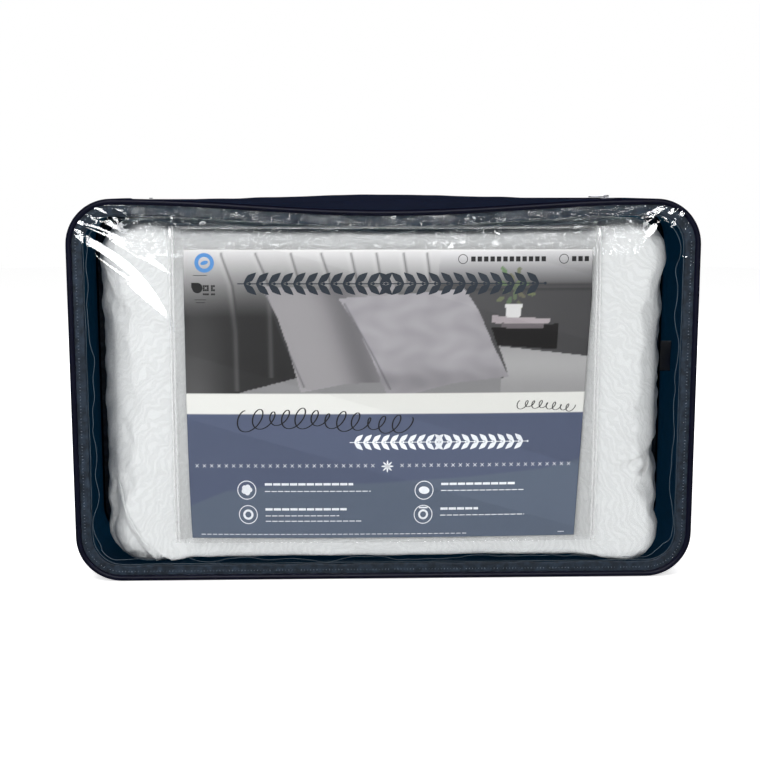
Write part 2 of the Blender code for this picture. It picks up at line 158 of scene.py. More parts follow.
class PackedPillowColours(bpy.types.PropertyGroup):
    cotton: colour("Cotton", "Bleached cotton cover", "F2F1EE")
    gusset: colour("Gusset", "Spun-bonded gusset and back", "0F1731")
    piping: colour("Piping", "Moulded piping", "080A1C")
    band: colour("Seam Band", "Tape over the seam allowance", "263341")
    thread: colour("Thread", "Seam stitches", "8894A3")
    zip: colour("Zip", "Zip tape and coil", "14183A")
    metal: colour("Zip Metal", "Gunmetal plated zinc", "6E7078")
    panel: colour("Card Panel", "Upper part of the card's printed panel", "56607A")
    panel_low: colour("Card Panel Foot", "Lower part of the printed panel", "5E6A7D")
    heading: colour("Card Heading", "Ornament across the card's picture", "142536")


def sizes():
    return bpy.context.scene.packed_pillow_sizes


def colours():
    return bpy.context.scene.packed_pillow_colours


# Shapes of the bag ------------------------------------------------------------------------------


def camera_spot():
    """Where the camera stands: at its distance from the point it looks at, aside and raised."""
    level = CAMERA_DISTANCE * math.cos(CAMERA_RISE)
    way = (math.sin(CAMERA_ASIDE) * level, -math.cos(CAMERA_ASIDE) * level)
    return LOOK_AT + Vector((*way, CAMERA_DISTANCE * math.sin(CAMERA_RISE)))


def sag(x, z):
    """How far the front face's edge hangs: full at the top, nothing from half height down."""
    share = np.clip(2 * z / BAG_HEIGHT - 1, 0, 1)
    hang = np.cos(np.pi * x / (2 * SAG_HALF)) ** 2
    return np.where(np.abs(x) < SAG_HALF, TOP_SAG * hang * share**2, 0.0)


def rounded(x, z, half_width, low, high, radius):
    """Points of a rectangle, moved inwards where its corners are to be round."""
    middle, half_height = (low + high) / 2, (high - low) / 2
    s = np.maximum(np.abs(x) - (half_width - radius), 0) / radius
    t = np.maximum(np.abs(z - middle) - (half_height - radius), 0) / radius
    corner = (s > 0) & (t > 0)
    x_out = half_width - radius + radius * s * np.sqrt(1 - t * t / 2)
    z_out = half_height - radius + radius * t * np.sqrt(1 - s * s / 2)
    return (
        np.where(corner, np.copysign(x_out, x), x),
        np.where(corner, middle + np.copysign(z_out, z - middle), z),
    )


def across(x):
    share = np.minimum(np.abs(x) / (HALF_WIDTH - BAND_INSET), 1)
    return (1 - share**2) ** 0.6


def up(z):
    share = np.minimum(np.abs(z - MIDDLE) / (MIDDLE - BAND_INSET), 1)
    return (1 - share**4) ** 0.5


def window_depth(x, z):
    """How far in front of Y = 0 the window's film lies."""
    return SEAM_PLANE + WINDOW_BULGE * across(x) * up(z)


def straight_depth(x, gap):
    """The same for the card and the front of its pocket, which run straight up."""
    return SEAM_PLANE + WINDOW_BULGE * across(x) + gap


def outline(inset, sagging, step=0.004):
    """Outline of the bag as (x, z) rows, anticlockwise from the front, moved inwards by inset."""
    half, low, high = HALF_WIDTH - inset, inset, BAG_HEIGHT - inset
    radius = CORNER_RADIUS - inset
    turn = np.linspace(0, np.pi / 2, 14)
    corners = [
        (half - radius, high - radius, 0),
        (radius - half, high - radius, 1),
        (radius - half, low + radius, 2),
        (half - radius, low + radius, 3),
    ]
    rows = []
    for number, (x, z, quarter) in enumerate(corners):
        angle = turn + quarter * np.pi / 2
        arc = np.stack([x + radius * np.cos(angle), z + radius * np.sin(angle)], 1)
        rows.append(arc)
        nx, nz, following = corners[(number + 1) % 4]
        start = arc[-1]
        angle = following * np.pi / 2
        end = np.array([nx + radius * np.cos(angle), nz + radius * np.sin(angle)])
        count = max(2, int(np.linalg.norm(end - start) / step))
        shares = np.linspace(0, 1, count + 1)[1:-1, None]
        rows.append(start + (end - start) * shares)
    points = np.concatenate(rows)
    if sagging:
        points[:, 1] -= sag(points[:, 0], points[:, 1])
    return points


def along(points, count, closed=True):
    """The line resampled at even steps, and the unit direction at each."""
    ends = np.vstack([points, points[:1]]) if closed else points
    steps = np.linalg.norm(np.diff(ends, axis=0), axis=1)
    run = np.concatenate([[0], np.cumsum(steps)])
    at = np.linspace(0, run[-1], count, endpoint=not closed)
    line = np.stack([np.interp(at, run, ends[:, k]) for k in range(ends.shape[1])], 1)
    if closed:
        way = np.roll(line, -1, 0) - np.roll(line, 1, 0)
    else:
        way = np.gradient(line, axis=0)
    return line, way / np.linalg.norm(way, axis=1)[:, None]


def smooth(value, low, high):
    share = np.clip((value - low) / (high - low), 0, 1)
    return share * share * (3 - 2 * share)


def ripple(x, z, size, seed, detail=2):
    """Seeded smooth noise from -1 to 1 with features of about the given size."""
    spot = np.stack([np.asarray(x) / size, np.asarray(z) / size], 1)
    return np.array([noise.fractal((a, b, seed), 1.0, 2.0, detail) for a, b in spot])


# Mesh helpers -----------------------------------------------------------------------------------


def crowded(start, end, steps):
    """Values that lie closer together near both ends."""
    turn = np.linspace(0, np.pi, steps + 1)
    return (start + end) / 2 - (end - start) / 2 * np.cos(turn)


def grid(name, columns, rows, place, close=False):
    """A grid object with a vertex at place(column, row), its ends welded if it closes on itself."""
    bm = bmesh.new()
    bmesh.ops.create_grid(bm, x_segments=len(columns) - 1, y_segments=len(rows) - 1, size=0.5)
    share = np.array([v.co[:2] for v in bm.verts]) + 0.5
    i = np.rint(share[:, 0] * (len(columns) - 1)).astype(int)
    j = np.rint(share[:, 1] * (len(rows) - 1)).astype(int)
    x, y, z = place(np.asarray(columns)[i], np.asarray(rows)[j])
    for vertex, point in zip(bm.verts, np.stack([x, y, z], 1)):
        vertex.co = point
    if close:
        bmesh.ops.remove_doubles(bm, verts=bm.verts, dist=1e-6)
    return made(name, bm)


def made(name, bm, flat=False):
    """The bmesh as an object, shaded smooth unless flat."""
    bm.normal_update()
    mesh = bpy.data.meshes.new(name)
    bm.to_mesh(mesh)
    bm.free()
    if not flat:
        mesh.shade_smooth()
    obj = bpy.data.objects.new(name, mesh)
    bpy.context.scene.collection.objects.link(obj)
    return obj


def applied(obj):
    """The object's mesh with its modifiers applied."""
    graph = bpy.context.evaluated_depsgraph_get()
    mesh = bpy.data.meshes.new_from_object(obj.evaluated_get(graph))
    obj.modifiers.clear()
    obj.data = mesh
    mesh.shade_smooth()
    return obj


def tube(name, points, radius, closed=True, sides=5):
    """A round cord along the points, as a mesh. A radius may be given for each point."""
    curve = bpy.data.curves.new(name, "CURVE")
    curve.dimensions = "3D"
    curve.bevel_depth = 1.0
    curve.bevel_resolution = sides
    curve.use_fill_caps = not closed
    spline = curve.splines.new("POLY")
    spline.points.add(len(points) - 1)
    radii = np.broadcast_to(radius, len(points))
    for target, point, size in zip(spline.points, points, radii):
        target.co = (*point, 1)
        target.radius = size
    spline.use_cyclic_u = closed
    obj = bpy.data.objects.new(name, curve)
    bpy.context.scene.collection.objects.link(obj)
    graph = bpy.context.evaluated_depsgraph_get()
    mesh = bpy.data.meshes.new_from_object(obj.evaluated_get(graph))
    bpy.data.objects.remove(obj)
    bm = bmesh.new()
    bm.from_mesh(mesh)
    bmesh.ops.remove_doubles(bm, verts=bm.verts, dist=1e-6)
    bpy.data.meshes.remove(mesh)
    return made(name, bm)


def put_values(obj, name, values):
    """Stores one number for each point of the piece."""
    attribute = obj.data.attributes.new(name, "FLOAT", "POINT")
    attribute.data.foreach_set("value", np.asarray(values, np.float32))


def points_of(obj):
    points = np.empty(len(obj.data.vertices) * 3, np.float32)
    obj.data.vertices.foreach_get("co", points)
    return points.reshape(-1, 3).astype(float)


def set_points(obj, points):
    obj.data.vertices.foreach_set("co", points.astype(np.float32).ravel())
    obj.data.update()


def thicken(obj, thickness, offset=-1.0):
    modifier = obj.modifiers.new("thickness", "SOLIDIFY")
    modifier.thickness = thickness
    modifier.offset = offset
    modifier.use_even_offset = False
    return obj


def slump(obj):
    """Lets the back's upper left shoulder hang a little lower than the front's."""
    x, y, z = points_of(obj).T
    z = z - SHOULDER_DROP * smooth(-x, 0.12, 0.22) * smooth(y, 0.01, 0.06) * smooth(z, 0.33, 0.395)
    set_points(obj, np.stack([x, y, z], 1))


def finish(obj, material, slot, *replaced, body="bag"):
    """Gives the piece its finish and body, and hides the nodes that it stands for."""
    if material:
        obj.data.materials.clear()
        obj.data.materials.append(material)
    if body == "bag":
        slump(obj)
    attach(obj, body)
    if replaced:
        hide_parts(*replaced)
    return obj


def from_node(name, node, bevel):
    """A copy of a node's mesh with its flat faces whole and its edges bevelled."""
    bm = bmesh.new()
    bm.from_mesh(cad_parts[node].data)
    bmesh.ops.remove_doubles(bm, verts=bm.verts, dist=1e-6)
    bmesh.ops.dissolve_limit(bm, angle_limit=0.02, verts=bm.verts, edges=bm.edges)
    sharp = [e for e in bm.edges if e.is_manifold and e.calc_face_angle(0) > 0.5]
    bmesh.ops.bevel(
        bm, geom=sharp, affect="EDGES", offset=bevel, offset_type="OFFSET", segments=2,
        profile=0.5, material=-1, clamp_overlap=True,
    )
    return made(name, bm)


# Materials --------------------------------------------------------------------------------------


def new_material(name):
    """A new material with its node tree and its shader."""
    material = bpy.data.materials.new(name)
    material.use_nodes = True
    tree = material.node_tree
    shader = tree.nodes["Principled BSDF"]
    return material, tree, shader


def add(tree, kind, settings=None, links=None):
    """A node of the kind with its settings, its numbered or named inputs set or linked."""
    node = tree.nodes.new(kind)
    for key, value in (settings or {}).items():
        setattr(node, key, value)
    for key, value in (links or {}).items():
        if isinstance(value, bpy.types.NodeSocket):
            tree.links.new(value, node.inputs[key])
        else:
            node.inputs[key].default_value = value
    return node


def rgba(value):
    return (*value, 1)


def scaled(value, factor):
    return (*(min(1.0, v * factor) for v in value), 1)


def object_coordinates(tree, stretch=(1, 1, 1)):
    spot = add(tree, "ShaderNodeTexCoord").outputs["Object"]
    return add(tree, "ShaderNodeMapping", None, {0: spot, 3: stretch}).outputs[0]


def two_tone(tree, shader, factor, value, low, high):
    """Colours the shader from low times the value to high times it, by the factor."""
    tone = add(
        tree, "ShaderNodeMix", {"data_type": "RGBA"},
        {"Factor": factor, 6: scaled(value, low), 7: scaled(value, high)},
    )
    tree.links.new(tone.outputs[2], shader.inputs["Base Color"])


def bump(tree, shader, height, distance, strength=1.0, normal=None):
    links = {"Strength": strength, "Distance": distance, "Height": height}
    if normal:
        links["Normal"] = normal
    node = add(tree, "ShaderNodeBump", None, links)
    tree.links.new(node.outputs[0], shader.inputs["Normal"])
    return node.outputs[0]


def cotton_jacquard():
    """Bleached cotton jacquard, woven: soft broad sheen, and scrolls that catch more light."""
    material, tree, shader = new_material("bleached cotton jacquard, woven")
    white = colours().cotton
    spot = object_coordinates(tree)
    # Scrolls about 28 mm across, bent by a slower noise, as a paisley ground is.
    bend = add(tree, "ShaderNodeTexNoise", None, {"Vector": spot, "Scale": 28.0, "Detail": 1.0})
    mixed = add(
        tree, "ShaderNodeVectorMath", {"operation": "MULTIPLY_ADD"},
        {0: bend.outputs["Color"], 1: (0.035, 0.035, 0.035), 2: spot},
    )
    scroll = add(
        tree, "ShaderNodeTexWave", {"wave_type": "RINGS", "rings_direction": "Y"},
        {"Vector": mixed.outputs[0], "Scale": 46.0, "Distortion": 7.0, "Detail": 1.0,
         "Detail Scale": 2.0},
    )
    figure = add(tree, "ShaderNodeValToRGB", None, {0: scroll.outputs["Fac"]})
    figure.color_ramp.elements[0].position = 0.42
    figure.color_ramp.elements[1].position = 0.56
    # Threads are 0.3 mm apart, drawn 1.1 mm apart so that they show.
    warp = add(
        tree, "ShaderNodeTexWave", {"bands_direction": "X"},
        {"Vector": spot, "Scale": 290.0, "Distortion": 0.6},
    )
    weft = add(
        tree, "ShaderNodeTexWave", {"bands_direction": "Z"},
        {"Vector": spot, "Scale": 290.0, "Distortion": 0.6},
    )
    threads = add(
        tree, "ShaderNodeMath", {"operation": "ADD"},
        {0: warp.outputs["Fac"], 1: weft.outputs["Fac"]},
    )
    cloud = add(tree, "ShaderNodeTexNoise", None, {"Vector": spot, "Scale": 9.0, "Detail": 3.0})
    tone = add(
        tree, "ShaderNodeMix", {"data_type": "RGBA"},
        {"Factor": cloud.outputs["Fac"], 6: scaled(white, 0.965), 7: rgba(white)},
    )
    figured = add(
        tree, "ShaderNodeMix", {"data_type": "RGBA", "blend_type": "MULTIPLY"},
        {"Factor": 0.06, 6: tone.outputs[2], 7: figure.outputs["Color"]},
    )
    tree.links.new(figured.outputs[2], shader.inputs["Base Color"])
    shader.inputs["Roughness"].default_value = 0.78
    shader.inputs["Specular IOR Level"].default_value = 0.3
    shader.inputs["Sheen Weight"].default_value = 0.12
    shader.inputs["Sheen Roughness"].default_value = 0.5
    first = bump(tree, shader, figure.outputs["Color"], 0.0005, 0.7)
    bump(tree, shader, threads.outputs[0], 0.00008, 0.5, first)
    return material


def non_woven(name, value):
    """Spun-bonded polypropylene: matt, pressed in tiny points, a little daylight through it."""
    material, tree, shader = new_material(name)
    # Pressed points are 1 mm apart, drawn 2.2 mm apart so that they show.
    spot = object_coordinates(tree)
    dots = add(
        tree, "ShaderNodeTexVoronoi", {"feature": "DISTANCE_TO_EDGE"},
        {"Vector": spot, "Scale": 450.0, "Randomness": 0.25},
    )
    cloud = add(tree, "ShaderNodeTexNoise", None, {"Vector": spot, "Scale": 60.0, "Detail": 4.0})
    fibre = add(tree, "ShaderNodeTexNoise", None, {"Vector": spot, "Scale": 900.0, "Detail": 2.0})
    two_tone(tree, shader, cloud.outputs["Fac"], value, 0.7, 1.5)
    shader.inputs["Roughness"].default_value = 0.82
    shader.inputs["Specular IOR Level"].default_value = 0.3
    first = bump(tree, shader, dots.outputs["Distance"], 0.0006, 0.5)
    bump(tree, shader, fibre.outputs["Fac"], 0.00006, 0.4, first)
    through = add(tree, "ShaderNodeBsdfTranslucent", None, {"Color": rgba(to_linear("45839E"))})
    mixed = add(
        tree, "ShaderNodeMixShader", None, {0: 0.4, 1: shader.outputs[0], 2: through.outputs[0]}
    )
    tree.links.new(mixed.outputs[0], tree.nodes["Material Output"].inputs["Surface"])
    return material


def piping_vinyl():
    """Extruded vinyl: near black navy, satin, with long soft waves from the drawing."""
    material, tree, shader = new_material("extruded navy vinyl")
    spot = object_coordinates(tree)
    drag = add(tree, "ShaderNodeTexNoise", None, {"Vector": spot, "Scale": 120.0, "Detail": 2.0})
    two_tone(tree, shader, drag.outputs["Fac"], colours().piping, 0.7, 1.6)
    shader.inputs["Roughness"].default_value = 0.42
    shader.inputs["Specular IOR Level"].default_value = 0.12
    bump(tree, shader, drag.outputs["Fac"], 0.0004, 0.4)
    return material


def clear_film(name, base_reflection, tint):
    """Calendered clear vinyl: mirror-smooth, milky where welded, finely cockled where slack."""
    material, tree, shader = new_material(name)
    # Cockles about 12 mm across, drawn only where the piece's own "slack" value lets them.
    spot = object_coordinates(tree, stretch=(1, 0.3, 1.2))
    cockle = add(
        tree, "ShaderNodeTexNoise", None,
        {"Vector": spot, "Scale": 62.0, "Detail": 2.0, "Distortion": 2.2},
    )
    slack = add(tree, "ShaderNodeAttribute", {"attribute_name": "slack"})
    rise = add(
        tree, "ShaderNodeMath", {"operation": "MULTIPLY"},
        {0: cockle.outputs["Fac"], 1: slack.outputs["Fac"]},
    )
    bump(tree, shader, rise.outputs[0], 0.006, 1.0)
    facing = add(tree, "ShaderNodeLayerWeight", None, {"Blend": 0.5}).outputs["Facing"]
    steep = add(tree, "ShaderNodeMath", {"operation": "POWER"}, {0: facing, 1: 5.0})
    share = add(
        tree, "ShaderNodeMath", {"operation": "MULTIPLY_ADD", "use_clamp": True},
        {0: steep.outputs[0], 1: 1 - base_reflection, 2: base_reflection},
    )
    clear = add(tree, "ShaderNodeBsdfTransparent", None, {"Color": rgba(to_linear(tint))})
    shader.inputs["Base Color"].default_value = (1, 1, 1, 1)
    shader.inputs["Metallic"].default_value = 1.0
    shader.inputs["Roughness"].default_value = 0.06
    gloss = add(
        tree, "ShaderNodeMixShader", None,
        {0: share.outputs[0], 1: clear.outputs[0], 2: shader.outputs[0]},
    )
    milk = add(tree, "ShaderNodeBsdfPrincipled")
    milk.inputs["Base Color"].default_value = rgba(to_linear("F4F5F6"))
    milk.inputs["Roughness"].default_value = 0.5
    frost = add(tree, "ShaderNodeAttribute", {"attribute_name": "frost"})
    whole = add(
        tree, "ShaderNodeMixShader", None,
        {0: frost.outputs["Fac"], 1: gloss.outputs[0], 2: milk.outputs[0]},
    )
    tree.links.new(whole.outputs[0], tree.nodes["Material Output"].inputs["Surface"])
    return material


def band_tape():
    """Woven polyester tape under the film: dull slate blue, its mottle partly uneven tone and partly
    painted highlight and shade where the stitches pull it.
    """
    material, tree, shader = new_material("woven polyester seam tape, painted pucker light and shade")
    spot = object_coordinates(tree)
    # Painted highlight and shade: the mottle's light and dark flecks stand for light falling on stitch
    # puckers, and also vary the tape's tone.
    mottle = add(tree, "ShaderNodeTexNoise", None, {"Vector": spot, "Scale": 170.0, "Detail": 3.0})
    ramp = add(tree, "ShaderNodeValToRGB", None, {0: mottle.outputs["Fac"]})
    ramp.color_ramp.elements[0].position = 0.36
    ramp.color_ramp.elements[0].color = scaled(colours().band, 0.6)
    ramp.color_ramp.elements[1].position = 0.68
    ramp.color_ramp.elements[1].color = scaled(colours().band, 1.35)
    tree.links.new(ramp.outputs["Color"], shader.inputs["Base Color"])
    shader.inputs["Roughness"].default_value = 0.6
    shader.inputs["Specular IOR Level"].default_value = 0.3
    bump(tree, shader, mottle.outputs["Fac"], 0.0008, 0.7)
    return material


def plain(name, value, roughness, metallic=0.0, grain=400.0, depth=0.00004, contrast=0.12):
    """A finish whose colour and height vary a little in a fine grain, its scale per metre."""
    material, tree, shader = new_material(name)
    spot = object_coordinates(tree)
    fine = add(tree, "ShaderNodeTexNoise", None, {"Vector": spot, "Scale": grain, "Detail": 2.0})
    two_tone(tree, shader, fine.outputs["Fac"], value, 1 - contrast, 1 + contrast)
    shader.inputs["Roughness"].default_value = roughness
    shader.inputs["Metallic"].default_value = metallic
    bump(tree, shader, fine.outputs["Fac"], depth, 0.5)
    return material


def zip_webbing():
    """Woven polyester zip tape: matt, its 0.6 mm cross ribs drawn 1.2 mm apart so they show."""
    material, tree, shader = new_material("woven polyester zip tape")
    spot = object_coordinates(tree)
    ribs = add(
        tree, "ShaderNodeTexWave", {"bands_direction": "X"},
        {"Vector": spot, "Scale": 260.0, "Distortion": 0.4},
    )
    two_tone(tree, shader, ribs.outputs["Fac"], colours().zip, 0.7, 1.3)
    shader.inputs["Roughness"].default_value = 0.75
    bump(tree, shader, ribs.outputs["Fac"], 0.0002, 0.6)
    return material


def printed_board():
    """Coated board, offset printed: satin, its colours held on the sheet's own points."""
    material, tree, shader = new_material("coated board, offset printed")
    ink = add(tree, "ShaderNodeAttribute", {"attribute_name": "ink"})
    spot = object_coordinates(tree)
    # Paper fibre shows about 0.5 mm across.
    fibre = add(tree, "ShaderNodeTexNoise", None, {"Vector": spot, "Scale": 1500.0, "Detail": 2.0})
    # Only the front is printed: whatever faces back is bare white board.
    normal = add(tree, "ShaderNodeTexCoord").outputs["Normal"]
    facing = add(tree, "ShaderNodeSeparateXYZ", None, {0: normal})
    behind = add(
        tree, "ShaderNodeMath", {"operation": "GREATER_THAN"},
        {0: facing.outputs["Y"], 1: 0.4},
    )
    face = add(
        tree, "ShaderNodeMix", {"data_type": "RGBA"},
        {"Factor": behind.outputs[0], 6: ink.outputs["Color"], 7: rgba((0.72, 0.72, 0.71))},
    )
    tone = add(
        tree, "ShaderNodeMix", {"data_type": "RGBA", "blend_type": "MULTIPLY"},
        {"Factor": 0.06, 6: face.outputs[2], 7: fibre.outputs["Color"]},
    )
    tree.links.new(tone.outputs[2], shader.inputs["Base Color"])
    shader.inputs["Roughness"].default_value = 0.42
    shader.inputs["Specular IOR Level"].default_value = 0.35
    bump(tree, shader, fibre.outputs["Fac"], 0.00002, 0.3)
    return material


# The clear window -------------------------------------------------------------------------------

# Folds that run in from the corners, each with a lit side that mirrors the long box:
# start x, z, end x, z, widest.
CORNER_FOLDS = [
    (-0.3290, 0.3750, -0.2140, 0.2655, 0.0200),
    (-0.3230, 0.3630, -0.2500, 0.3136, 0.0050),
    (-0.3280, 0.3860, -0.2080, 0.3175, 0.0100),
    (-0.3260, 0.3810, -0.2600, 0.3585, 0.0034),
    (-0.3200, 0.3930, -0.2180, 0.3440, 0.0040),
    (-0.3120, 0.3995, -0.2240, 0.3610, 0.0055),
    (-0.3000, 0.4040, -0.1880, 0.3515, 0.0170),
    (-0.2360, 0.3805, -0.1560, 0.3430, 0.0090),
    (0.2930, 0.4068, 0.1900, 0.3645, 0.0060),
    (0.3100, 0.4060, 0.2200, 0.3475, 0.0080),
    (0.3140, 0.4050, 0.2650, 0.3540, 0.0090),
    (0.3190, 0.4000, 0.3000, 0.3740, 0.0110),
    (0.3200, 0.3452, 0.3000, 0.3342, 0.0055),
]
# Short crumples are scattered in bands:
# seed, count, low x, high x, low z, high z, longest, widest, slope.
CRUMPLES = [
    (3, 60, -0.27, 0.27, 0.356, 0.386, 0.040, 0.0034, 0.30),
    (5, 26, -0.315, -0.255, 0.012, 0.050, 0.026, 0.0030, 0.45),
    (8, 22, 0.255, 0.315, 0.012, 0.050, 0.026, 0.0030, 0.45),
    (11, 22, 0.285, 0.318, 0.300, 0.385, 0.022, 0.0028, 0.45),
    (13, 24, -0.318, -0.300, 0.060, 0.330, 0.014, 0.0022, 0.50),
    (17, 24, 0.300, 0.318, 0.060, 0.300, 0.014, 0.0022, 0.50),
    (19, 30, -0.250, 0.250, 0.010, 0.022, 0.020, 0.0022, 0.50),
]


def fold_axes(start, end):
    """A fold's start and end as arrays, its direction, and the side of it that points up."""
    start, end = np.array(start), np.array(end)
    way = (end - start) / np.linalg.norm(end - start)
    side = np.array([way[1], -way[0]])
    return start, end, way, -side if side[1] < 0 else side


def fold_height(x, z, start, end, widest, slopes, back=0.5):
    """Height of one fold: an even slope on its upper side, which mirrors one light, and a back."""
    start, end, way, side = fold_axes(start, end)
    dx, dz = x - start[0], z - start[1]
    t = (dx * way[0] + dz * way[1]) / np.linalg.norm(end - start)
    d = dx * side[0] + dz * side[1]
    width = widest * np.sin(np.pi * np.clip(t, 0, 1)) ** 0.6
    slope = np.interp(t, np.linspace(0, 1, len(slopes)), slopes)
    front = slope * np.clip(width - d, 0, None)
    behind = slope * width * np.clip(1 + d / np.maximum(back * width, 1e-5), 0, 1)
    return np.where(d > 0, front, behind)


def mirror_slopes(start, end, widest):
    """Slope that each part of a fold needs for its lit side to mirror the long box into the camera."""
    start, end, _, side = fold_axes(start, end)
    line = start + np.linspace(0, 1, 15)[:, None] * (end - start) + side * widest * 0.4
    x, z = line.T
    spot = np.stack([x, -window_depth(x, z), z - sag(x, z)], 1)
    halfway = sum(
        (np.array(target) - spot) / np.linalg.norm(np.array(target) - spot, axis=1)[:, None]
        for target in (camera_spot(), MIRROR_BOX)
    )
    step = 0.002
    own = (window_depth(x, z + step) - window_depth(x, z - step)) / (2 * step)
    return np.clip((own - halfway[:, 2] / halfway[:, 1]) / side[1], 0.02, 0.7)


def window_folds(x, z):
    """How far the window's folds and crumples stand out of its smooth surface."""
    height = np.zeros_like(x)
    for x0, z0, x1, z1, widest in CORNER_FOLDS:
        slopes = mirror_slopes((x0, z0), (x1, z1), widest)
        height += fold_height(x, z, (x0, z0), (x1, z1), widest, slopes)
    for seed, count, x0, x1, z0, z1, longest, widest, slope in CRUMPLES:
        draw = np.random.default_rng(seed)
        for _ in range(count):
            start = np.array([draw.uniform(x0, x1), draw.uniform(z0, z1)])
            angle, run = draw.uniform(-0.9, 0.9), longest * draw.uniform(0.4, 1)
            end = start + run * np.array([math.cos(angle), math.sin(angle)])
            width = widest * draw.uniform(0.35, 1)
            steep = slope * draw.uniform(0.4, 1)
            height += fold_height(x, z, start, end, width, (steep, steep), 0.7)
    inside = smooth(HALF_WIDTH - PANEL_INSET - np.abs(x), 0, 0.003)
    inside *= smooth(MIDDLE - PANEL_INSET - np.abs(z - MIDDLE), 0, 0.003)
    return height * inside * sizes().fold_height


class PACKEDPILLOW_OT_window(bpy.types.Operator):
    """Makes the clear window, drawn tight over the pillow and folded at its corners"""

    bl_idname = "packed_pillow.window"
    bl_label = "Clear Window"

    def execute(self, context):
        half, low, high = HALF_WIDTH - PANEL_EDGE, PANEL_EDGE, BAG_HEIGHT - PANEL_EDGE

        def place(x, z):
            x, z = rounded(x, z, half, low, high, CORNER_RADIUS - PANEL_EDGE)
            depth = window_depth(x, z) + window_folds(x, z) + FILM / 2
            return x, -depth, z - sag(x, z)

        window = grid("window_film", crowded(-half, half, 262), crowded(low, high, 176), place)
        points = points_of(window)
        x, z = points[:, 0], points[:, 2] + sag(points[:, 0], points[:, 2])
        border = np.minimum(half - np.abs(x), MIDDLE - PANEL_INSET - np.abs(z - MIDDLE))
        slack = smooth(0.275 - np.abs(x), 0, 0.02) * smooth(z, 0.345, 0.362)
        slack = np.maximum(slack, 0.12 * smooth(0.022 - border, 0, 0.008))
        put_values(window, "slack", slack)
        thicken(window, FILM)
        material = clear_film("calendered clear vinyl, window", 0.04, "FBFCFD")
        finish(window, material, "clear_vinyl", "front_window")
        return {"FINISHED"}


# The card and its pocket ------------------------------------------------------------------------

POCKET_FOLDS = [
    (-0.0153, 0.3032, 0.0097, 0.2716, 0.0050, 0.27, 0.27),
    (0.0150, 0.2690, 0.0720, 0.2955, 0.0046, 0.27, 0.27),
]
WELD_LINES = (0.0006, 0.0040)  # from the pocket's edge to its two weld lines


class PACKEDPILLOW_OT_pocket(bpy.types.Operator):
    """Makes the clear pocket in front of the card, with its two weld lines at each side"""

    bl_idname = "packed_pillow.pocket"
    bl_label = "Card Pocket"

    def execute(self, context):
        half = POCKET_HIGH.x
        foot, mouth = POCKET_LOW.z, POCKET_HIGH.z
        weld = 0.006
        sides = np.linspace(0, weld, 11)
        columns = np.concatenate(
            [-half + sides, np.linspace(weld - half, half - weld, 150)[1:-1], half - weld + sides]
        )
        rows = np.concatenate([foot + sides, np.linspace(foot + weld, mouth, 120)[1:]])

        def place(x, z):
            front = straight_depth(x, POCKET_GAP)
            under = np.minimum(window_depth(x, z) + FILM / 2 + 2 * CLEARANCE, front)
            raised = smooth(half - np.abs(x), 0.0045, weld) * smooth(z - foot, 0.0045, weld)
            depth = under + (front - under) * raised + 0.0002
            edge = half - np.abs(x)
            for line in WELD_LINES:
                depth += 0.0005 * np.exp(-(((edge - line) / 0.0004) ** 2))
            for fold in POCKET_FOLDS:
                depth += fold_height(x, z, fold[0:2], fold[2:4], fold[4], fold[5:])
            lean = 0.0006 * np.sin(z * 31 + x * 9) * raised
            return x, -depth - lean, z

        pocket = grid("pocket_film", columns, rows, place)
        points = points_of(pocket)
        edge = half - np.abs(points[:, 0])
        level = points[:, 2] - foot
        milk = sum(0.40 * np.exp(-(((edge - line) / 0.0007) ** 2)) for line in WELD_LINES)
        milk = np.maximum(milk, 0.06 * (edge < weld))
        milk = np.maximum(milk, 0.06 * (level < weld))
        milk = np.maximum(milk, 0.10 * (mouth - foot - level < 0.0018))
        put_values(pocket, "frost", milk)
        thicken(pocket, 0.0004)
        material = clear_film("calendered clear vinyl, pocket", 0.03, "FEFEFE")
        finish(pocket, material, "clear_vinyl", "card_pocket")
        return {"FINISHED"}


def card_point(u, v, lift=0.0):
    """Place on the card's printed side for u across and v up from its lower left corner."""
    narrowing = np.clip((0.253 - v) / 0.253, 0, 1)
    left = -0.2079 + 0.0034 * narrowing**3
    right = 0.2137 - 0.0136 * narrowing
    x = left + u * (right - left) / CARD_WIDTH
    y = -straight_depth(x, CARD_GAP + CARD_THICKNESS / 2 + lift)
    return x, y, CARD_LOW.z + v


def inside_polygon(u, v, corners):
    """Whether each point lies in the polygon."""
    found = np.zeros(len(u), bool)
    for (x0, y0), (x1, y1) in zip(corners, corners[1:] + corners[:1]):
        crosses = (y0 > v) != (y1 > v)
        at = x0 + (v - y0) * (x1 - x0) / (y1 - y0 if y1 != y0 else 1e-9)
        found ^= crosses & (u < at)
    return found


def paint(ink, mask, value, share=1.0):
    """Mixes a colour, or one for each point, into the points of the mask."""
    mask = np.asarray(mask, float)[:, None] * share
    ink[:] = ink * (1 - mask) + np.asarray(value, float) * mask


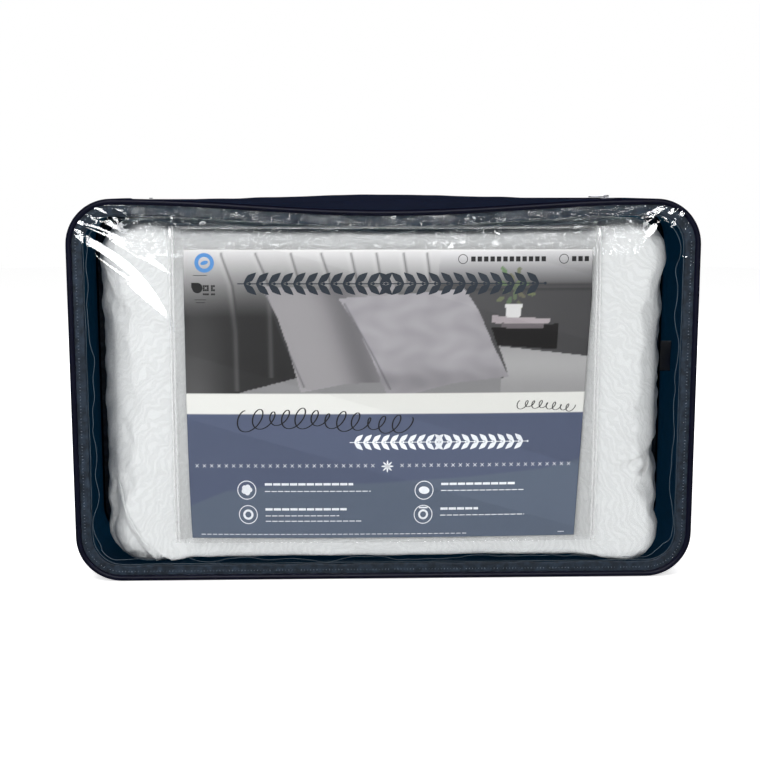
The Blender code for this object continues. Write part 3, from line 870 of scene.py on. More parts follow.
def bedroom(u, v):
    """sRGB colours of the card's picture: a tufted headboard, two pillows, a plant on books."""
    rise = np.clip((v - 150) / 160, 0, 1)
    tone = 47 + 200 * np.clip((rise - 0.52) / 0.48, 0, 1) ** 1.05
    tone += 40 * np.exp(-(((u - 8) / 32) ** 2)) * (1 - rise)
    ink = np.stack([tone, tone, tone + 1], 1)
    wall = u > 262 + (v - 290) * 0.1
    shade = 78 + 150 * np.clip((v - 262) / 40, 0, 1)
    shade -= 22 * np.exp(-(((v - 266.5) / 1.6) ** 2)) + 14 * np.exp(-(((v - 262) / 1.5) ** 2))
    shade = shade - 8 * (u - 300) / 120
    paint(ink, wall, np.stack([shade, shade, shade + 2], 1), 1.0)
    channels = [
        ((39, 297), (50, 266), (56, 218), (57, 157)),
        ((74, 298), (83, 277), (91, 252), (93, 170)),
        ((110, 298), (117, 274), (120, 255)),
        ((141, 298), (148, 277), (151, 262)),
        ((171, 300), (176, 277), (178, 266)),
        ((197, 300), (201, 277), (202, 268)),
        ((225, 298), (228, 280), (229, 268)),
        ((249, 297), (251, 284), (252, 270)),
    ]
    for line in channels:
        xs, ys = zip(*line)
        at = np.interp(v, ys[::-1], xs[::-1])
        reach = (v > min(ys)) & (v < 300)
        paint(ink, np.exp(-(((u - at) / 1.1) ** 2)) * reach, (40, 40, 42), 0.45)
        paint(ink, np.exp(-(((u - at + 3.4) / 2.6) ** 2)) * reach, (235, 235, 235), 0.16)
    bed = inside_polygon(u, v, [(326, 203), (428, 191), (428, 150), (239, 150), (338, 171)])
    paint(ink, bed, np.array([163.0, 163.0, 164.0]) + 8 * np.sin(v / 9)[:, None])
    sheet = [(56, 155), (91, 164), (122, 172), (330, 172), (330, 150), (56, 150)]
    paint(ink, inside_polygon(u, v, sheet), (138, 138, 140))
    paint(ink, inside_polygon(u, v, [(317, 222), (387, 226), (387, 199), (324, 204)]), (30, 29, 30))
    paint(ink, inside_polygon(u, v, [(317, 235), (378, 231), (377, 226), (317, 227)]), (168, 160, 164))
    paint(ink, inside_polygon(u, v, [(327, 227), (371, 226), (371, 221), (327, 222)]), (112, 106, 110))
    for number in range(15):
        angle = number * 2.4
        reach = 4 + 1.5 * number
        x, z = 339 + reach * 0.75 * math.cos(angle), 262 + reach * 0.95 * math.sin(angle)
        leaf = ((u - x) * math.cos(angle) + (v - z) * math.sin(angle)) ** 2 / 22
        leaf += ((v - z) * math.cos(angle) - (u - x) * math.sin(angle)) ** 2 / 5
        green = (96 + number * 3 % 20, 108 + number * 5 % 24, 88)
        paint(ink, leaf < 1, green, 0.85)
    paint(ink, inside_polygon(u, v, [(330, 247), (348, 247), (346, 233), (332, 233)]), (208, 208, 208))
    rear = [
        (78, 266), (140, 262), (200, 265), (207, 277), (213, 272), (220, 256),
        (203, 166), (166, 164), (120, 155), (106, 204), (95, 235),
    ]
    paint(ink, inside_polygon(u, v, rear), (158, 156, 159))
    shadow = inside_polygon(u, v, rear) * np.exp(-(((u - (172 + (220 - v) * 0.36)) / 20) ** 2))
    paint(ink, shadow, (100, 99, 103), 0.75)
    near = [
        (158, 253), (222, 257), (287, 263), (303, 240), (320, 204), (338, 171),
        (278, 164), (239, 154), (210, 154), (194, 190), (178, 223),
    ]
    soft = 164 + 7 * np.sin(u / 11 + np.sin(v / 7) * 2) * np.sin(v / 9 + np.sin(u / 8))
    soft = soft - 22 * np.exp(-(((v - 166) / 12) ** 2))
    paint(ink, inside_polygon(u, v, near), np.stack([soft, soft - 2, soft + 3], 1))
    for line in (((82, 262), (104, 205), (124, 160)), ((164, 248), (196, 192), (214, 158))):
        xs, ys = zip(*line)
        at = np.interp(v, ys[::-1], xs[::-1])
        reach = (v > min(ys)) & (v < max(ys))
        paint(ink, np.exp(-(((u - at) / 0.9) ** 2)) * reach, (78, 78, 84), 0.6)
    return ink


def board_ink(u, v):
    """sRGB colours of the whole printed side, in millimetres."""
    paper = np.tile(np.array([[227.0, 228.0, 224.0]]), (len(u), 1))
    picture = (v > PICTURE_FOOT) & (v < 306)
    ink = bedroom(u, v)
    paint(ink, ~picture, paper, 1.0)
    paint(ink, v > 301.5, (232, 232, 231), 0.8)
    upper = np.array(to_srgb(colours().panel)) * 255
    lower = np.array(to_srgb(colours().panel_low)) * 255
    paint(ink, v < TEXT_PANEL_TOP, upper)
    hill = np.interp(u, [0, 40, 100, 200, 300, 380, 420], [36, 52, 58, 60, 66, 74, 84])
    paint(ink, smooth(hill - v, 0, 2.4), lower)
    fade = smooth(v, 100, 150) * 0.10
    paint(ink, (v < TEXT_PANEL_TOP) * fade, (70, 82, 120))
    return ink


def to_srgb(value):
    return [12.92 * v if v <= 0.0031308 else 1.055 * v ** (1 / 2.4) - 0.055 for v in value]


def put_ink(obj, srgb):
    """Stores a colour for each point of the piece."""
    value = np.clip(srgb / 255, 0, 1)
    value = np.where(value <= 0.04045, value / 12.92, ((value + 0.055) / 1.055) ** 2.4)
    rows = np.concatenate([value, np.ones((len(value), 1))], 1)
    attribute = obj.data.attributes.new("ink", "FLOAT_COLOR", "POINT")
    attribute.data.foreach_set("color", rows.astype(np.float32).ravel())


class PACKEDPILLOW_OT_card(bpy.types.Operator):
    """Makes the printed insert: board, picture, panel and ornaments"""

    bl_idname = "packed_pillow.card"
    bl_label = "Printed Card"

    def execute(self, context):
        columns = np.linspace(0, CARD_WIDTH, 325)
        rows = np.linspace(0, CARD_HEIGHT, 240)
        place_u, place_v = [], []

        def place(u, v):
            place_u.append(u)
            place_v.append(v)
            return card_point(u, v)

        card = grid("card_board", columns, rows, place)
        put_ink(card, board_ink(place_u[0] * 1000, place_v[0] * 1000))
        thicken(card, CARD_THICKNESS)
        finish(card, printed_board(), "printed_card", "insert_card", body="card")
        self.ornaments()
        return {"FINISHED"}

    def ornaments(self):
        white = plain("printing ink, white", to_linear("E9EDF3"), 0.5)
        dark = plain("printing ink, blue black", colours().heading[:], 0.5)
        black = plain("printing ink, black", to_linear("15161A"), 0.5)
        blue = plain("printing ink, sky blue", to_linear("4E8FD0"), 0.5)
        self.marks("card_marks_white", white, self.white_marks)
        self.marks("card_marks_heading", dark, self.heading_marks)
        self.marks("card_marks_black", black, self.black_marks)
        self.marks("card_badge", blue, self.badge_marks)

    def marks(self, name, material, draw):
        """Flat printed shapes, drawn in millimetres and laid on the card."""
        bm = bmesh.new()
        draw(bm)
        bmesh.ops.triangulate(bm, faces=[f for f in bm.faces if len(f.verts) > 4])
        points = np.array([v.co[:2] for v in bm.verts]) / 1000
        x, y, z = card_point(points[:, 0], points[:, 1], 0.00012)
        for vertex, point in zip(bm.verts, np.stack([x, y, z], 1)):
            vertex.co = point
        obj = made(name, bm, flat=True)
        finish(obj, material, "printed_card", body="card")

    def bar(self, bm, u, v, width, height, turn=0.0):
        """A bar about its middle, divided so that it follows the card's curve."""
        steps = max(1, int(width / 12))
        place = Matrix.Translation((u, v, 0)) @ Matrix.Rotation(turn, 4, "Z")
        place = place @ Matrix.Diagonal((width, height, 1, 1))
        bmesh.ops.create_grid(bm, x_segments=steps, y_segments=1, size=0.5, matrix=place)

    def ring(self, bm, u, v, radius, width, turns=28):
        """A flat ring."""
        start = bm.verts.new((u + radius, v, 0))
        end = bm.verts.new((u + radius - width, v, 0))
        edge = bm.edges.new((start, end))
        bmesh.ops.spin(
            bm, geom=[start, end, edge], cent=(u, v, 0), axis=(0, 0, 1), angle=math.tau,
            steps=turns, use_merge=True,
        )

    def disc(self, bm, u, v, radius, stretch=(1, 1), turn=0.0):
        place = Matrix.Translation((u, v, 0)) @ Matrix.Rotation(turn, 4, "Z")
        place = place @ Matrix.Diagonal((stretch[0], stretch[1], 1, 1))
        bmesh.ops.create_circle(bm, cap_ends=True, segments=20, radius=radius, matrix=place)

    def white_marks(self, bm):
        pitch = sizes().cross_pitch * 1000
        for number in range(int(400 / pitch) + 1):
            u = 9 + number * pitch
            if abs(u - 212.6) < 11:
                continue
            for turn in (math.pi / 4, -math.pi / 4):
                self.bar(bm, u, 77.6, 4.8, 0.5, turn)
        for turn in (0, math.pi / 4, math.pi / 2, -math.pi / 4):
            self.disc(bm, 212.6, 76.8, 6.6, (1, 0.16), turn)
        self.ring(bm, 212.6, 76.8, 2.6, 1.0)
        # A slim leafy garland stands where the card's title would be.
        self.garland(bm, 172, 362, 102.4, 12.4, 9.4)
        for u, v in ((61.5, 51.7), (62.3, 25.4), (252.6, 50.9), (252.2, 24.9)):
            self.ring(bm, u, v, 10.2, 0.9)
        for turn in (0, 1.2, 2.4, 3.6, 4.9):
            self.disc(bm, 61.5 + 3 * math.cos(turn), 52 + 3 * math.sin(turn), 2.9)
        self.ring(bm, 62.3, 25.4, 5.6, 2.4)
        self.disc(bm, 252.6, 50.9, 5.8, (1, 0.7), -0.15)
        self.ring(bm, 252.2, 24.9, 5.4, 2.2)
        self.bar(bm, 252.2, 32.2, 9.5, 1.6)
        for u, rows in (
            (81, (
                (57.9, 95, 2.5), (50.3, 114, 0.9), (31.0, 88, 2.5), (24.0, 80, 0.9), (18.2, 105, 0.9),
            )),
            (271, ((57.4, 81, 2.5), (50.4, 90, 0.9), (30.8, 41, 2.5), (23.8, 92, 0.9))),
        ):
            for v, width, height in rows:
                gap, at = (9, u) if height > 2 else (7, u)
                while at < u + width:
                    piece = min(gap - 1.2, u + width - at)
                    if piece > 0.6:
                        self.bar(bm, at + piece / 2, v, piece, height)
                    at += gap
        at = 10
        while at < 300:
            self.bar(bm, at + 2.6, 4.0, 4.6, 0.7)
            at += 6.2
        self.bar(bm, 405, 4.0, 7, 0.7)

    def heading_marks(self, bm):
        # A broad leafy garland stands where a name would be.
        self.garland(bm, 55, 371, 268, 17.5, 12.6)

    def garland(self, bm, start, end, v, leaf, pitch):
        """Pairs of leaves along a stem, with a berry between each pair and the next."""
        self.bar(bm, (start + end) / 2, v, end - start, leaf * 0.06)
        count = int((end - start) / pitch)
        for number in range(count):
            u = start + (number + 0.5) * (end - start) / count
            lean = 0.72 if u < (start + end) / 2 else math.pi - 0.72
            for side in (1, -1):
                spot_u = u + 0.5 * leaf * math.cos(lean)
                spot_v = v + side * 0.5 * leaf * math.sin(lean)
                self.leaf(bm, spot_u, spot_v, leaf, leaf * 0.42, side * lean)
            self.disc(bm, u + (end - start) / count / 2, v, leaf * 0.085)

    def leaf(self, bm, u, v, long, wide, turn):
        """A flat leaf, pointed at both ends."""
        place = Matrix.Translation((u, v, 0)) @ Matrix.Rotation(turn, 4, "Z")
        found = bmesh.ops.create_circle(bm, cap_ends=True, segments=16, radius=1.0)
        for vertex in found["verts"]:
            share = vertex.co.x
            vertex.co.x = share * long / 2
            vertex.co.y *= wide / 2 * (1 - abs(share)) ** 0.5 if abs(share) < 1 else 0
            vertex.co = place @ vertex.co

    def black_marks(self, bm):
        # Two loose pen flourishes.
        for u0, u1, v0, rise, turns, width in (
            (58, 236, 125, 12.0, 12, 1.5),
            (350, 410, 141.0, 4.8, 8, 1.0),
        ):
            count = 420
            share = np.linspace(0, 1, count)
            swell = 0.55 + 0.45 * np.abs(np.sin(share * 11 + 1.0)) - 0.2 * share
            angle = share * turns * math.tau
            u = u0 + (u1 - u0) * share - 0.72 * rise * swell * np.sin(angle)
            v = v0 + rise * swell * np.cos(angle) + 0.25 * rise * np.sin(share * 5)
            u = u + 0.35 * (v - v0)
            v = v - (v0 - 119) * 0.12 * share
            line = np.stack([u, v], 1)
            way = np.gradient(line, axis=0)
            way /= np.linalg.norm(way, axis=1)[:, None]
            thick = width * (0.45 + 0.55 * np.abs(way[:, 1]))
            left = line + np.stack([-way[:, 1], way[:, 0]], 1) * thick[:, None] / 2
            right = line - np.stack([-way[:, 1], way[:, 0]], 1) * thick[:, None] / 2
            lefts = [bm.verts.new((*p, 0)) for p in left]
            rights = [bm.verts.new((*p, 0)) for p in right]
            for row in (lefts, rights):
                for a, b in zip(row, row[1:]):
                    bm.edges.new((a, b))
            pair = [bm.edges.get((a, b)) for row in (lefts, rights) for a, b in zip(row, row[1:])]
            bmesh.ops.bridge_loops(bm, edges=pair)
        for u, wide in ((285.7, 79), (390, 17)):
            self.ring(bm, u, 293, 5.0, 0.7)
            at = u + 8
            while at < u + 8 + wide:
                self.bar(bm, at + 2.6, 293, 4.6, 5.2)
                at += 6.6
        self.disc(bm, 14.0, 263.6, 5.4)
        self.bar(bm, 10.9, 266.2, 6, 5.4)
        for row in range(6):
            for column in range(6):
                if (row * 5 + column * 3 + row * column) % 4 != 1:
                    self.bar(bm, 20.6 + column * 2.1, 257.2 + row * 2.1, 1.9, 1.9)
        for v, width in ((276.4, 14), (251.5, 12), (248.6, 9)):
            self.bar(bm, 17, v, width, 0.6)

    def badge_marks(self, bm):
        self.ring(bm, 21.6, 289.4, 10.0, 4.0, 36)
        self.disc(bm, 21.6, 289.4, 3.4, (1.2, 0.6), 0.3)


# The pillow -------------------------------------------------------------------------------------

# Creases in the cover's front: points x, z along it, depth, width, and the share raised beside it.
CREASES = [
    (((0.291, 0.139), (0.257, 0.127), (0.240, 0.122)), 0.0030, 0.0026, 0.7),
    (((0.291, 0.138), (0.273, 0.115), (0.268, 0.117)), 0.0034, 0.0022, 0.8),
    (((0.240, 0.132), (0.220, 0.135), (0.201, 0.131)), 0.0018, 0.0034, 0.7),
    (((0.235, 0.107), (0.221, 0.098)), 0.0016, 0.0040, 0.9),
    (((0.290, 0.158), (0.265, 0.154), (0.230, 0.148)), 0.0016, 0.0045, 0.5),
    (((0.286, 0.212), (0.257, 0.206), (0.227, 0.208)), 0.0013, 0.0045, 0.6),
    (((0.285, 0.239), (0.253, 0.230), (0.225, 0.221)), 0.0014, 0.0040, 0.6),
    (((0.283, 0.268), (0.257, 0.258), (0.231, 0.243)), 0.0012, 0.0036, 0.6),
    (((0.285, 0.298), (0.250, 0.284), (0.223, 0.264)), 0.0012, 0.0042, 0.6),
    (((0.277, 0.324), (0.245, 0.309), (0.223, 0.303)), 0.0010, 0.0040, 0.5),
    (((0.286, 0.184), (0.257, 0.187), (0.231, 0.182)), 0.0013, 0.0040, 0.6),
    (((0.231, 0.072), (0.257, 0.064), (0.286, 0.057)), 0.0014, 0.0045, 0.6),
    (((0.201, 0.085), (0.217, 0.081), (0.231, 0.072)), 0.0012, 0.0034, 0.6),
    (((-0.293, 0.335), (-0.260, 0.318), (-0.234, 0.302)), 0.0012, 0.0045, 0.6),
    (((-0.291, 0.239), (-0.260, 0.231), (-0.230, 0.233)), 0.0010, 0.0050, 0.6),
    (((-0.289, 0.188), (-0.273, 0.158), (-0.260, 0.136)), 0.0013, 0.0042, 0.6),
    (((-0.279, 0.121), (-0.248, 0.113), (-0.224, 0.121)), 0.0014, 0.0040, 0.6),
    (((-0.267, 0.092), (-0.244, 0.095), (-0.222, 0.103)), 0.0013, 0.0040, 0.6),
    (((-0.260, 0.081), (-0.238, 0.083), (-0.220, 0.091)), 0.0012, 0.0036, 0.6),
    (((-0.199, 0.377), (-0.150, 0.371), (-0.091, 0.375)), 0.0012, 0.0050, 0.6),
    (((0.036, 0.375), (0.096, 0.369), (0.165, 0.376)), 0.0012, 0.0050, 0.6),
    (((-0.179, 0.030), (-0.062, 0.036), (0.056, 0.031), (0.185, 0.036)), 0.0012, 0.0060, 0.6),
]
# The lower left corner is tucked under along these two lines.
TUCK = [
    ((-0.292, 0.113), (-0.276, 0.075), (-0.259, 0.044), (-0.238, 0.023)),
    ((-0.285, 0.077), (-0.277, 0.059), (-0.264, 0.038), (-0.254, 0.024)),
]


def from_line(x, z, line):
    """Signed distance from a line of points, positive on its left, and the share along it."""
    best = np.full(len(x), np.inf)
    signed = np.zeros(len(x))
    share = np.zeros(len(x))
    total = len(line) - 1
    for number, (a, b) in enumerate(zip(line, line[1:])):
        a, b = np.array(a), np.array(b)
        run = np.linalg.norm(b - a)
        way = (b - a) / run
        dx, dz = x - a[0], z - a[1]
        t = np.clip((dx * way[0] + dz * way[1]) / run, 0, 1)
        away = np.hypot(dx - t * run * way[0], dz - t * run * way[1])
        side = np.sign(way[0] * dz - way[1] * dx)
        nearer = away < best
        best = np.where(nearer, away, best)
        signed = np.where(nearer, away * side, signed)
        share = np.where(nearer, (number + t) / total, share)
    return signed, share


def pillow_thickness(x, z, half, rise):
    share = np.minimum(np.abs(x) / half, 1)
    lift = np.minimum(np.abs(z - PILLOW_MIDDLE) / rise, 1)
    return (1 - share**16) ** 0.5 * (1 - lift**24) ** 0.5


def pillow_blank(shrink):
    """The closed starting shape of the cover, smaller all round by shrink."""
    half, rise = PILLOW_HALF + SWELL - shrink, PILLOW_RISE - shrink
    low, high = PILLOW_MIDDLE - rise, PILLOW_MIDDLE + rise
    deep = SEAM_PLANE + WINDOW_BULGE - shrink - 0.004

    def place(x, z):
        depth = deep * pillow_thickness(x, z, half, rise)
        x, z = rounded(x, z, half, low, high, PILLOW_CORNER)
        return x, -depth, z

    blank = grid("pillow", crowded(-half, half, 90), crowded(low, high, 60), place)
    mirror = blank.modifiers.new("back", "MIRROR")
    mirror.use_axis = (False, True, False)
    mirror.merge_threshold = 0.0002
    return applied(blank)


def fill(obj, start_frame=1):
    """Blows the cover up with cloth simulation and applies the result, each point's way capped."""
    settings = sizes()
    start = points_of(obj)
    seam = obj.vertex_groups.new(name="seam")
    near_seam = [int(i) for i in np.nonzero(np.abs(start[:, 1]) < 0.0035)[0]]
    seam.add(near_seam, 1.0, "REPLACE")
    cloth = obj.modifiers.new("fill", "CLOTH")
    cloth.settings.quality = 5
    cloth.settings.mass = 0.25
    cloth.settings.tension_stiffness = 12
    cloth.settings.compression_stiffness = 12
    cloth.settings.shear_stiffness = 4
    cloth.settings.bending_stiffness = 0.15
    cloth.settings.use_pressure = True
    cloth.settings.uniform_pressure_force = settings.fill_pressure
    cloth.settings.shrink_min = -0.035
    cloth.settings.vertex_group_mass = "seam"
    cloth.settings.effector_weights.gravity = 0
    cloth.collision_settings.use_collision = False
    cloth.point_cache.frame_start = start_frame
    cloth.point_cache.frame_end = settings.fill_steps
    scene = bpy.context.scene
    scene.frame_start, scene.frame_end = start_frame, settings.fill_steps
    for number in range(start_frame, settings.fill_steps + 1):
        scene.frame_set(number)
    applied(obj)
    scene.frame_set(start_frame)
    moved = points_of(obj) - start
    far = np.linalg.norm(moved, axis=1)[:, None]
    capped = moved * np.minimum(1, settings.swell_cap / np.maximum(far, 1e-9))
    set_points(obj, start + capped)
    obj.vertex_groups.clear()


def press(points):
    """Keeps the cover inside the bag, flattening softly where it meets film, back and gusset."""
    x, y, z = points.T
    room_front = window_depth(x, z + sag(x, z)) - FILM / 2 - 0.0007
    room_back = SEAM_PLANE + BACK_BULGE * across(x) * up(z) - CLOTH - 0.0007
    room = np.where(y < 0, room_front, room_back)
    depth = np.abs(y)
    soft = 0.004
    over = (depth - (room - soft)) / soft
    eased = room - soft + soft * (1 - np.exp(-np.maximum(over, 0)))
    depth = np.where(over > 0, np.minimum(eased, room), depth)
    low, high = PILLOW_MIDDLE - PILLOW_RISE + 0.0004, PILLOW_MIDDLE + PILLOW_RISE - 0.0004
    x = np.clip(x, -PILLOW_HALF - SWELL, PILLOW_HALF + SWELL)
    top = high - 0.3 * sag(x, z) * smooth(-y, 0.03, 0.07)
    z = np.clip(z, low, top)
    return np.stack([x, np.sign(y) * depth, z], 1)


def creased(points):
    """Sews the cover's edge, and adds a packed pillow's tucked corner, creases and hollows."""
    x, y, z = points.T
    depth = np.abs(y)
    front = smooth(-y, 0.018, 0.045)
    back = smooth(y, 0.018, 0.045)
    lower = np.zeros(len(x))
    for line, deep, wide, raised in CREASES:
        signed, share = from_line(x, z, line)
        fade = np.sin(np.pi * np.clip(share, 0.06, 0.94)) ** 0.5
        valley = np.exp(-((signed / wide) ** 2))
        ridge = raised * np.exp(-(((signed - 1.9 * wide) / (1.2 * wide)) ** 2))
        lower += 1.5 * deep * fade * (valley - ridge)
    for line, deep in zip(TUCK, (0.0085, 0.0075)):
        signed, share = from_line(x, z, line)
        under = smooth(-signed, -0.0012, 0.0022)
        rolled = np.exp(-(((signed - 0.007) / 0.006) ** 2)) * 0.004
        reach = smooth(-z, -0.125, -0.100)
        lower += (deep * under - rolled) * reach * (signed < 0.03)
    wave = ripple(x, z, 0.050, 2.3, 3)
    fine = ripple(x * 0.75, z * 1.3, 0.017, 7.9, 2)
    edge = smooth(np.abs(x), 0.205, 0.27) + smooth(np.abs(z - MIDDLE), 0.13, 0.18)
    hollows = 0.0010 * (wave + 0.6) + 0.0008 * (fine + 0.4) * (0.4 + edge)
    lower = lower * front + hollows * (front + back)
    # The notch at the right edge, where the cover is pinched.
    notch = np.exp(-(((z - 0.131) / 0.010) ** 2)) * smooth(x, 0.270, 0.300) * 0.006
    x = x - notch
    # The sides aren't straight: the down stands out in lumps.
    lump = 0.5 + 0.5 * ripple(z, 0.5 * depth, 0.034, 5.1, 2)
    x = x - np.sign(x) * 0.0015 * lump * smooth(np.abs(x), 0.255, 0.300)
    lump = 0.5 + 0.5 * ripple(x, 0.5 * depth, 0.045, 6.3, 2)
    z = z - np.sign(z - MIDDLE) * 0.0014 * lump * smooth(np.abs(z - MIDDLE), 0.155, 0.185)
    # Puckers run in from the corded seam.
    turn = np.arctan2((z - PILLOW_MIDDLE) / PILLOW_RISE, x / PILLOW_HALF)
    pucker = np.sin(turn * 47 + 3 * np.sin(turn * 9)) * np.exp(-((depth / 0.022) ** 2))
    outward = np.stack([x, np.zeros(len(x)), (z - PILLOW_MIDDLE) * 1.5], 1)
    outward /= np.maximum(np.linalg.norm(outward, axis=1), 1e-9)[:, None]
    depth = np.maximum(depth - lower, 0.0)
    made_points = np.stack([x, np.sign(y) * depth, z], 1)
    made_points -= outward * (0.0008 * (0.7 + pucker) * np.exp(-((depth / 0.03) ** 2)))[:, None]
    seam = np.exp(-((depth / 0.0035) ** 2)) * 0.0018
    made_points -= outward * seam[:, None]
    made_points[:, 0] += PILLOW_SHIFT * front
    return made_points


class PACKEDPILLOW_OT_pillow(bpy.types.Operator):
    """Makes the down pillow: filled cover, corded edge, tucked corner and care tag"""

    bl_idname = "packed_pillow.pillow"
    bl_label = "Down Pillow"

    def execute(self, context):
        pillow = pillow_blank(PILLOW_SHRINK)
        remesh = pillow.modifiers.new("remesh", "REMESH")
        remesh.mode = "VOXEL"
        remesh.voxel_size = sizes().remesh
        applied(pillow)
        fill(pillow)
        points = points_of(pillow) - (0, 0, PILLOW_MIDDLE)
        room = np.array([PILLOW_HALF + SWELL + 0.003, 0, PILLOW_RISE + 0.003])
        points[:, [0, 2]] *= (room / np.abs(points).max(axis=0))[[0, 2]]
        set_points(pillow, press(points + (0, 0, PILLOW_MIDDLE)))
        finer = pillow.modifiers.new("finer", "SUBSURF")
        finer.levels = finer.render_levels = 1
        applied(pillow)
        set_points(pillow, press(creased(points_of(pillow))))
        cotton = cotton_jacquard()
        finish(pillow, cotton, "cotton", "down_fill", "ticking_front", "ticking_back")

        out = 0.0012
        half, rise = PILLOW_HALF - 0.003, PILLOW_RISE - 0.002
        turn = np.linspace(0, math.tau, 400, endpoint=False)
        flat_x = half * np.sign(np.cos(turn)) * np.minimum(1, np.abs(np.cos(turn)) * 1.42)
        flat_z = rise * np.sign(np.sin(turn)) * np.minimum(1, np.abs(np.sin(turn)) * 1.42)
        x, z = rounded(flat_x, flat_z + PILLOW_MIDDLE, half, PILLOW_MIDDLE - rise,
                       PILLOW_MIDDLE + rise, PILLOW_CORNER + out)
        line, _ = along(np.stack([x, z], 1), 420)
        wander = ripple(line[:, 0], line[:, 1], 0.06, 4.4)
        count = len(wander)
        wander -= wander[0] * np.linspace(1, 0, count) + wander[-1] * np.linspace(0, 1, count)
        route = np.stack([line[:, 0], 0.002 * wander, line[:, 1]], 1)
        cord = tube("pillow_edge_cord", route, EDGE_CORD_RADIUS, sides=4)
        finish(cord, cotton, "cotton", "pillow_cord")

        line, _ = along(np.array(TUCK[0]), 60, closed=False)
        x, z = line.T
        dip = smooth(np.linspace(0, 1, 60), 0, 0.12) * smooth(np.linspace(1, 0, 60), 0, 0.12)
        depth = self.cover_depth(pillow, x, z)
        route = np.stack([x, -(depth - 0.004 + 0.0034 * dip), z], 1)
        tuck = tube("tucked_corner_cord", route, TUCK_CORD_RADIUS, closed=False, sides=3)
        finish(tuck, cotton, "cotton")

        self.care_tag()
        return {"FINISHED"}

    def cover_depth(self, pillow, x, z):
        """How far in front of Y = 0 the cover lies at each point."""
        points = points_of(pillow)
        points = points[points[:, 1] < -0.01]
        found = []
        for a, b in zip(x, z):
            near = np.argsort((points[:, 0] - a) ** 2 + (points[:, 2] - b) ** 2)[:3]
            found.append(-points[near, 1].mean())
        found = np.array(found)
        kernel = np.ones(7) / 7
        return np.convolve(np.pad(found, 3, mode="edge"), kernel, mode="valid")

    def care_tag(self):
        low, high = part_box("care_tag")
        width, height = high.x - low.x, high.z - low.z
        level = (low.y + high.y) / 2

        def place(u, v):
            curl = 0.0014 * (u / width) ** 2 * np.sin(v / height * 4.2 + 0.4)
            return low.x + u, level + curl, low.z + v

        tag = grid("pillow_care_tag", np.linspace(0, width, 13), np.linspace(0, height, 31), place)
        thicken(tag, 0.0004)
        # The label is real, but its near-black navy is painted shade: it stands for the shaded band
        # beside the pillow's right edge.
        satin = plain("satin care label, dark for painted shade", to_linear("151C2D"), 0.45, grain=1800.0)
        finish(tag, satin, "cotton", "care_tag")


# The bag's cloth --------------------------------------------------------------------------------


class PACKEDPILLOW_OT_gusset(bpy.types.Operator):
    """Makes the gusset and the back, spun-bonded cloth that dips to the pipings' seams"""

    bl_idname = "packed_pillow.gusset"
    bl_label = "Gusset and Back"

    def execute(self, context):
        navy = non_woven("spun-bonded polypropylene, navy", colours().gusset[:])
        self.gusset(navy)
        self.back(navy)
        return {"FINISHED"}

    def gusset(self, navy):
        ring = outline(0, False, 0.003)
        start = int(np.argmin(np.hypot(ring[:, 0] + ZIP_HALF, ring[:, 1] - BAG_HEIGHT)))
        ring = np.roll(ring, -start, 0)
        last = int(np.argmin(np.hypot(ring[:, 0] - ZIP_HALF, ring[:, 1] - BAG_HEIGHT)))
        route = ring[: last + 1]
        route[0, 0], route[-1, 0] = -ZIP_HALF - CLEARANCE, ZIP_HALF + CLEARANCE
        line, way = along(route, 340, closed=False)
        inward = np.stack([-way[:, 1], way[:, 0]], 1)
        edge = SEAM_PLANE  # the cloth runs on into the pipings
        rows = crowded(-edge, edge, 36)
        index = np.arange(len(line))

        def place(i, y):
            i = i.astype(int)
            dip = PIPING_RADIUS * (1 - smooth(edge - np.abs(y), 0.0025, 0.0095))
            x, z = line[i].T
            side = smooth(np.abs(x), HALF_WIDTH - 0.03, HALF_WIDTH) * smooth(z, 0.03, 0.08)
            calm = smooth(edge - np.abs(y), 0.004, 0.02)
            hollow = 0.0016 * (ripple(z + x, y, 0.06, 3.1) + 0.7) * side * calm
            fold = 0.0014 * np.exp(-(((y - 0.012 * np.sin(z * 15)) / 0.004) ** 2)) * side * calm
            hollow = np.maximum(hollow + fold, 0)
            return x + inward[i, 0] * (dip + hollow), y, z + inward[i, 1] * (dip + hollow)

        cloth = grid("gusset_cloth", index, rows, place)
        bm = bmesh.new()
        bm.from_mesh(cloth.data)
        outwards = sum(f.normal.x * f.calc_center_median().x for f in bm.faces)
        if outwards < 0:
            bmesh.ops.reverse_faces(bm, faces=bm.faces)
        bm.to_mesh(cloth.data)
        bm.free()
        thicken(cloth, CLOTH)
        finish(cloth, navy, "non_woven", "gusset_band")

    def back(self, navy):
        half, low, high = HALF_WIDTH - PANEL_EDGE, PANEL_EDGE, BAG_HEIGHT - PANEL_EDGE

        def place(x, z):
            x, z = rounded(x, z, half, low, high, CORNER_RADIUS - PANEL_EDGE)
            full = across(x) * up(z)
            slack = 0.0020 * (ripple(x, z, 0.07, 5.5) - 0.5) * full
            slack += 0.0011 * (ripple(x * 2, z * 0.6, 0.03, 8.5) - 0.5) * full
            depth = SEAM_PLANE + BACK_BULGE * full + np.minimum(slack, 0) + CLOTH / 2
            return -x, depth, z

        back = grid("back_cloth", crowded(-half, half, 150), crowded(low, high, 100), place)
        thicken(back, CLOTH)
        finish(back, navy, "non_woven", "back_panel")


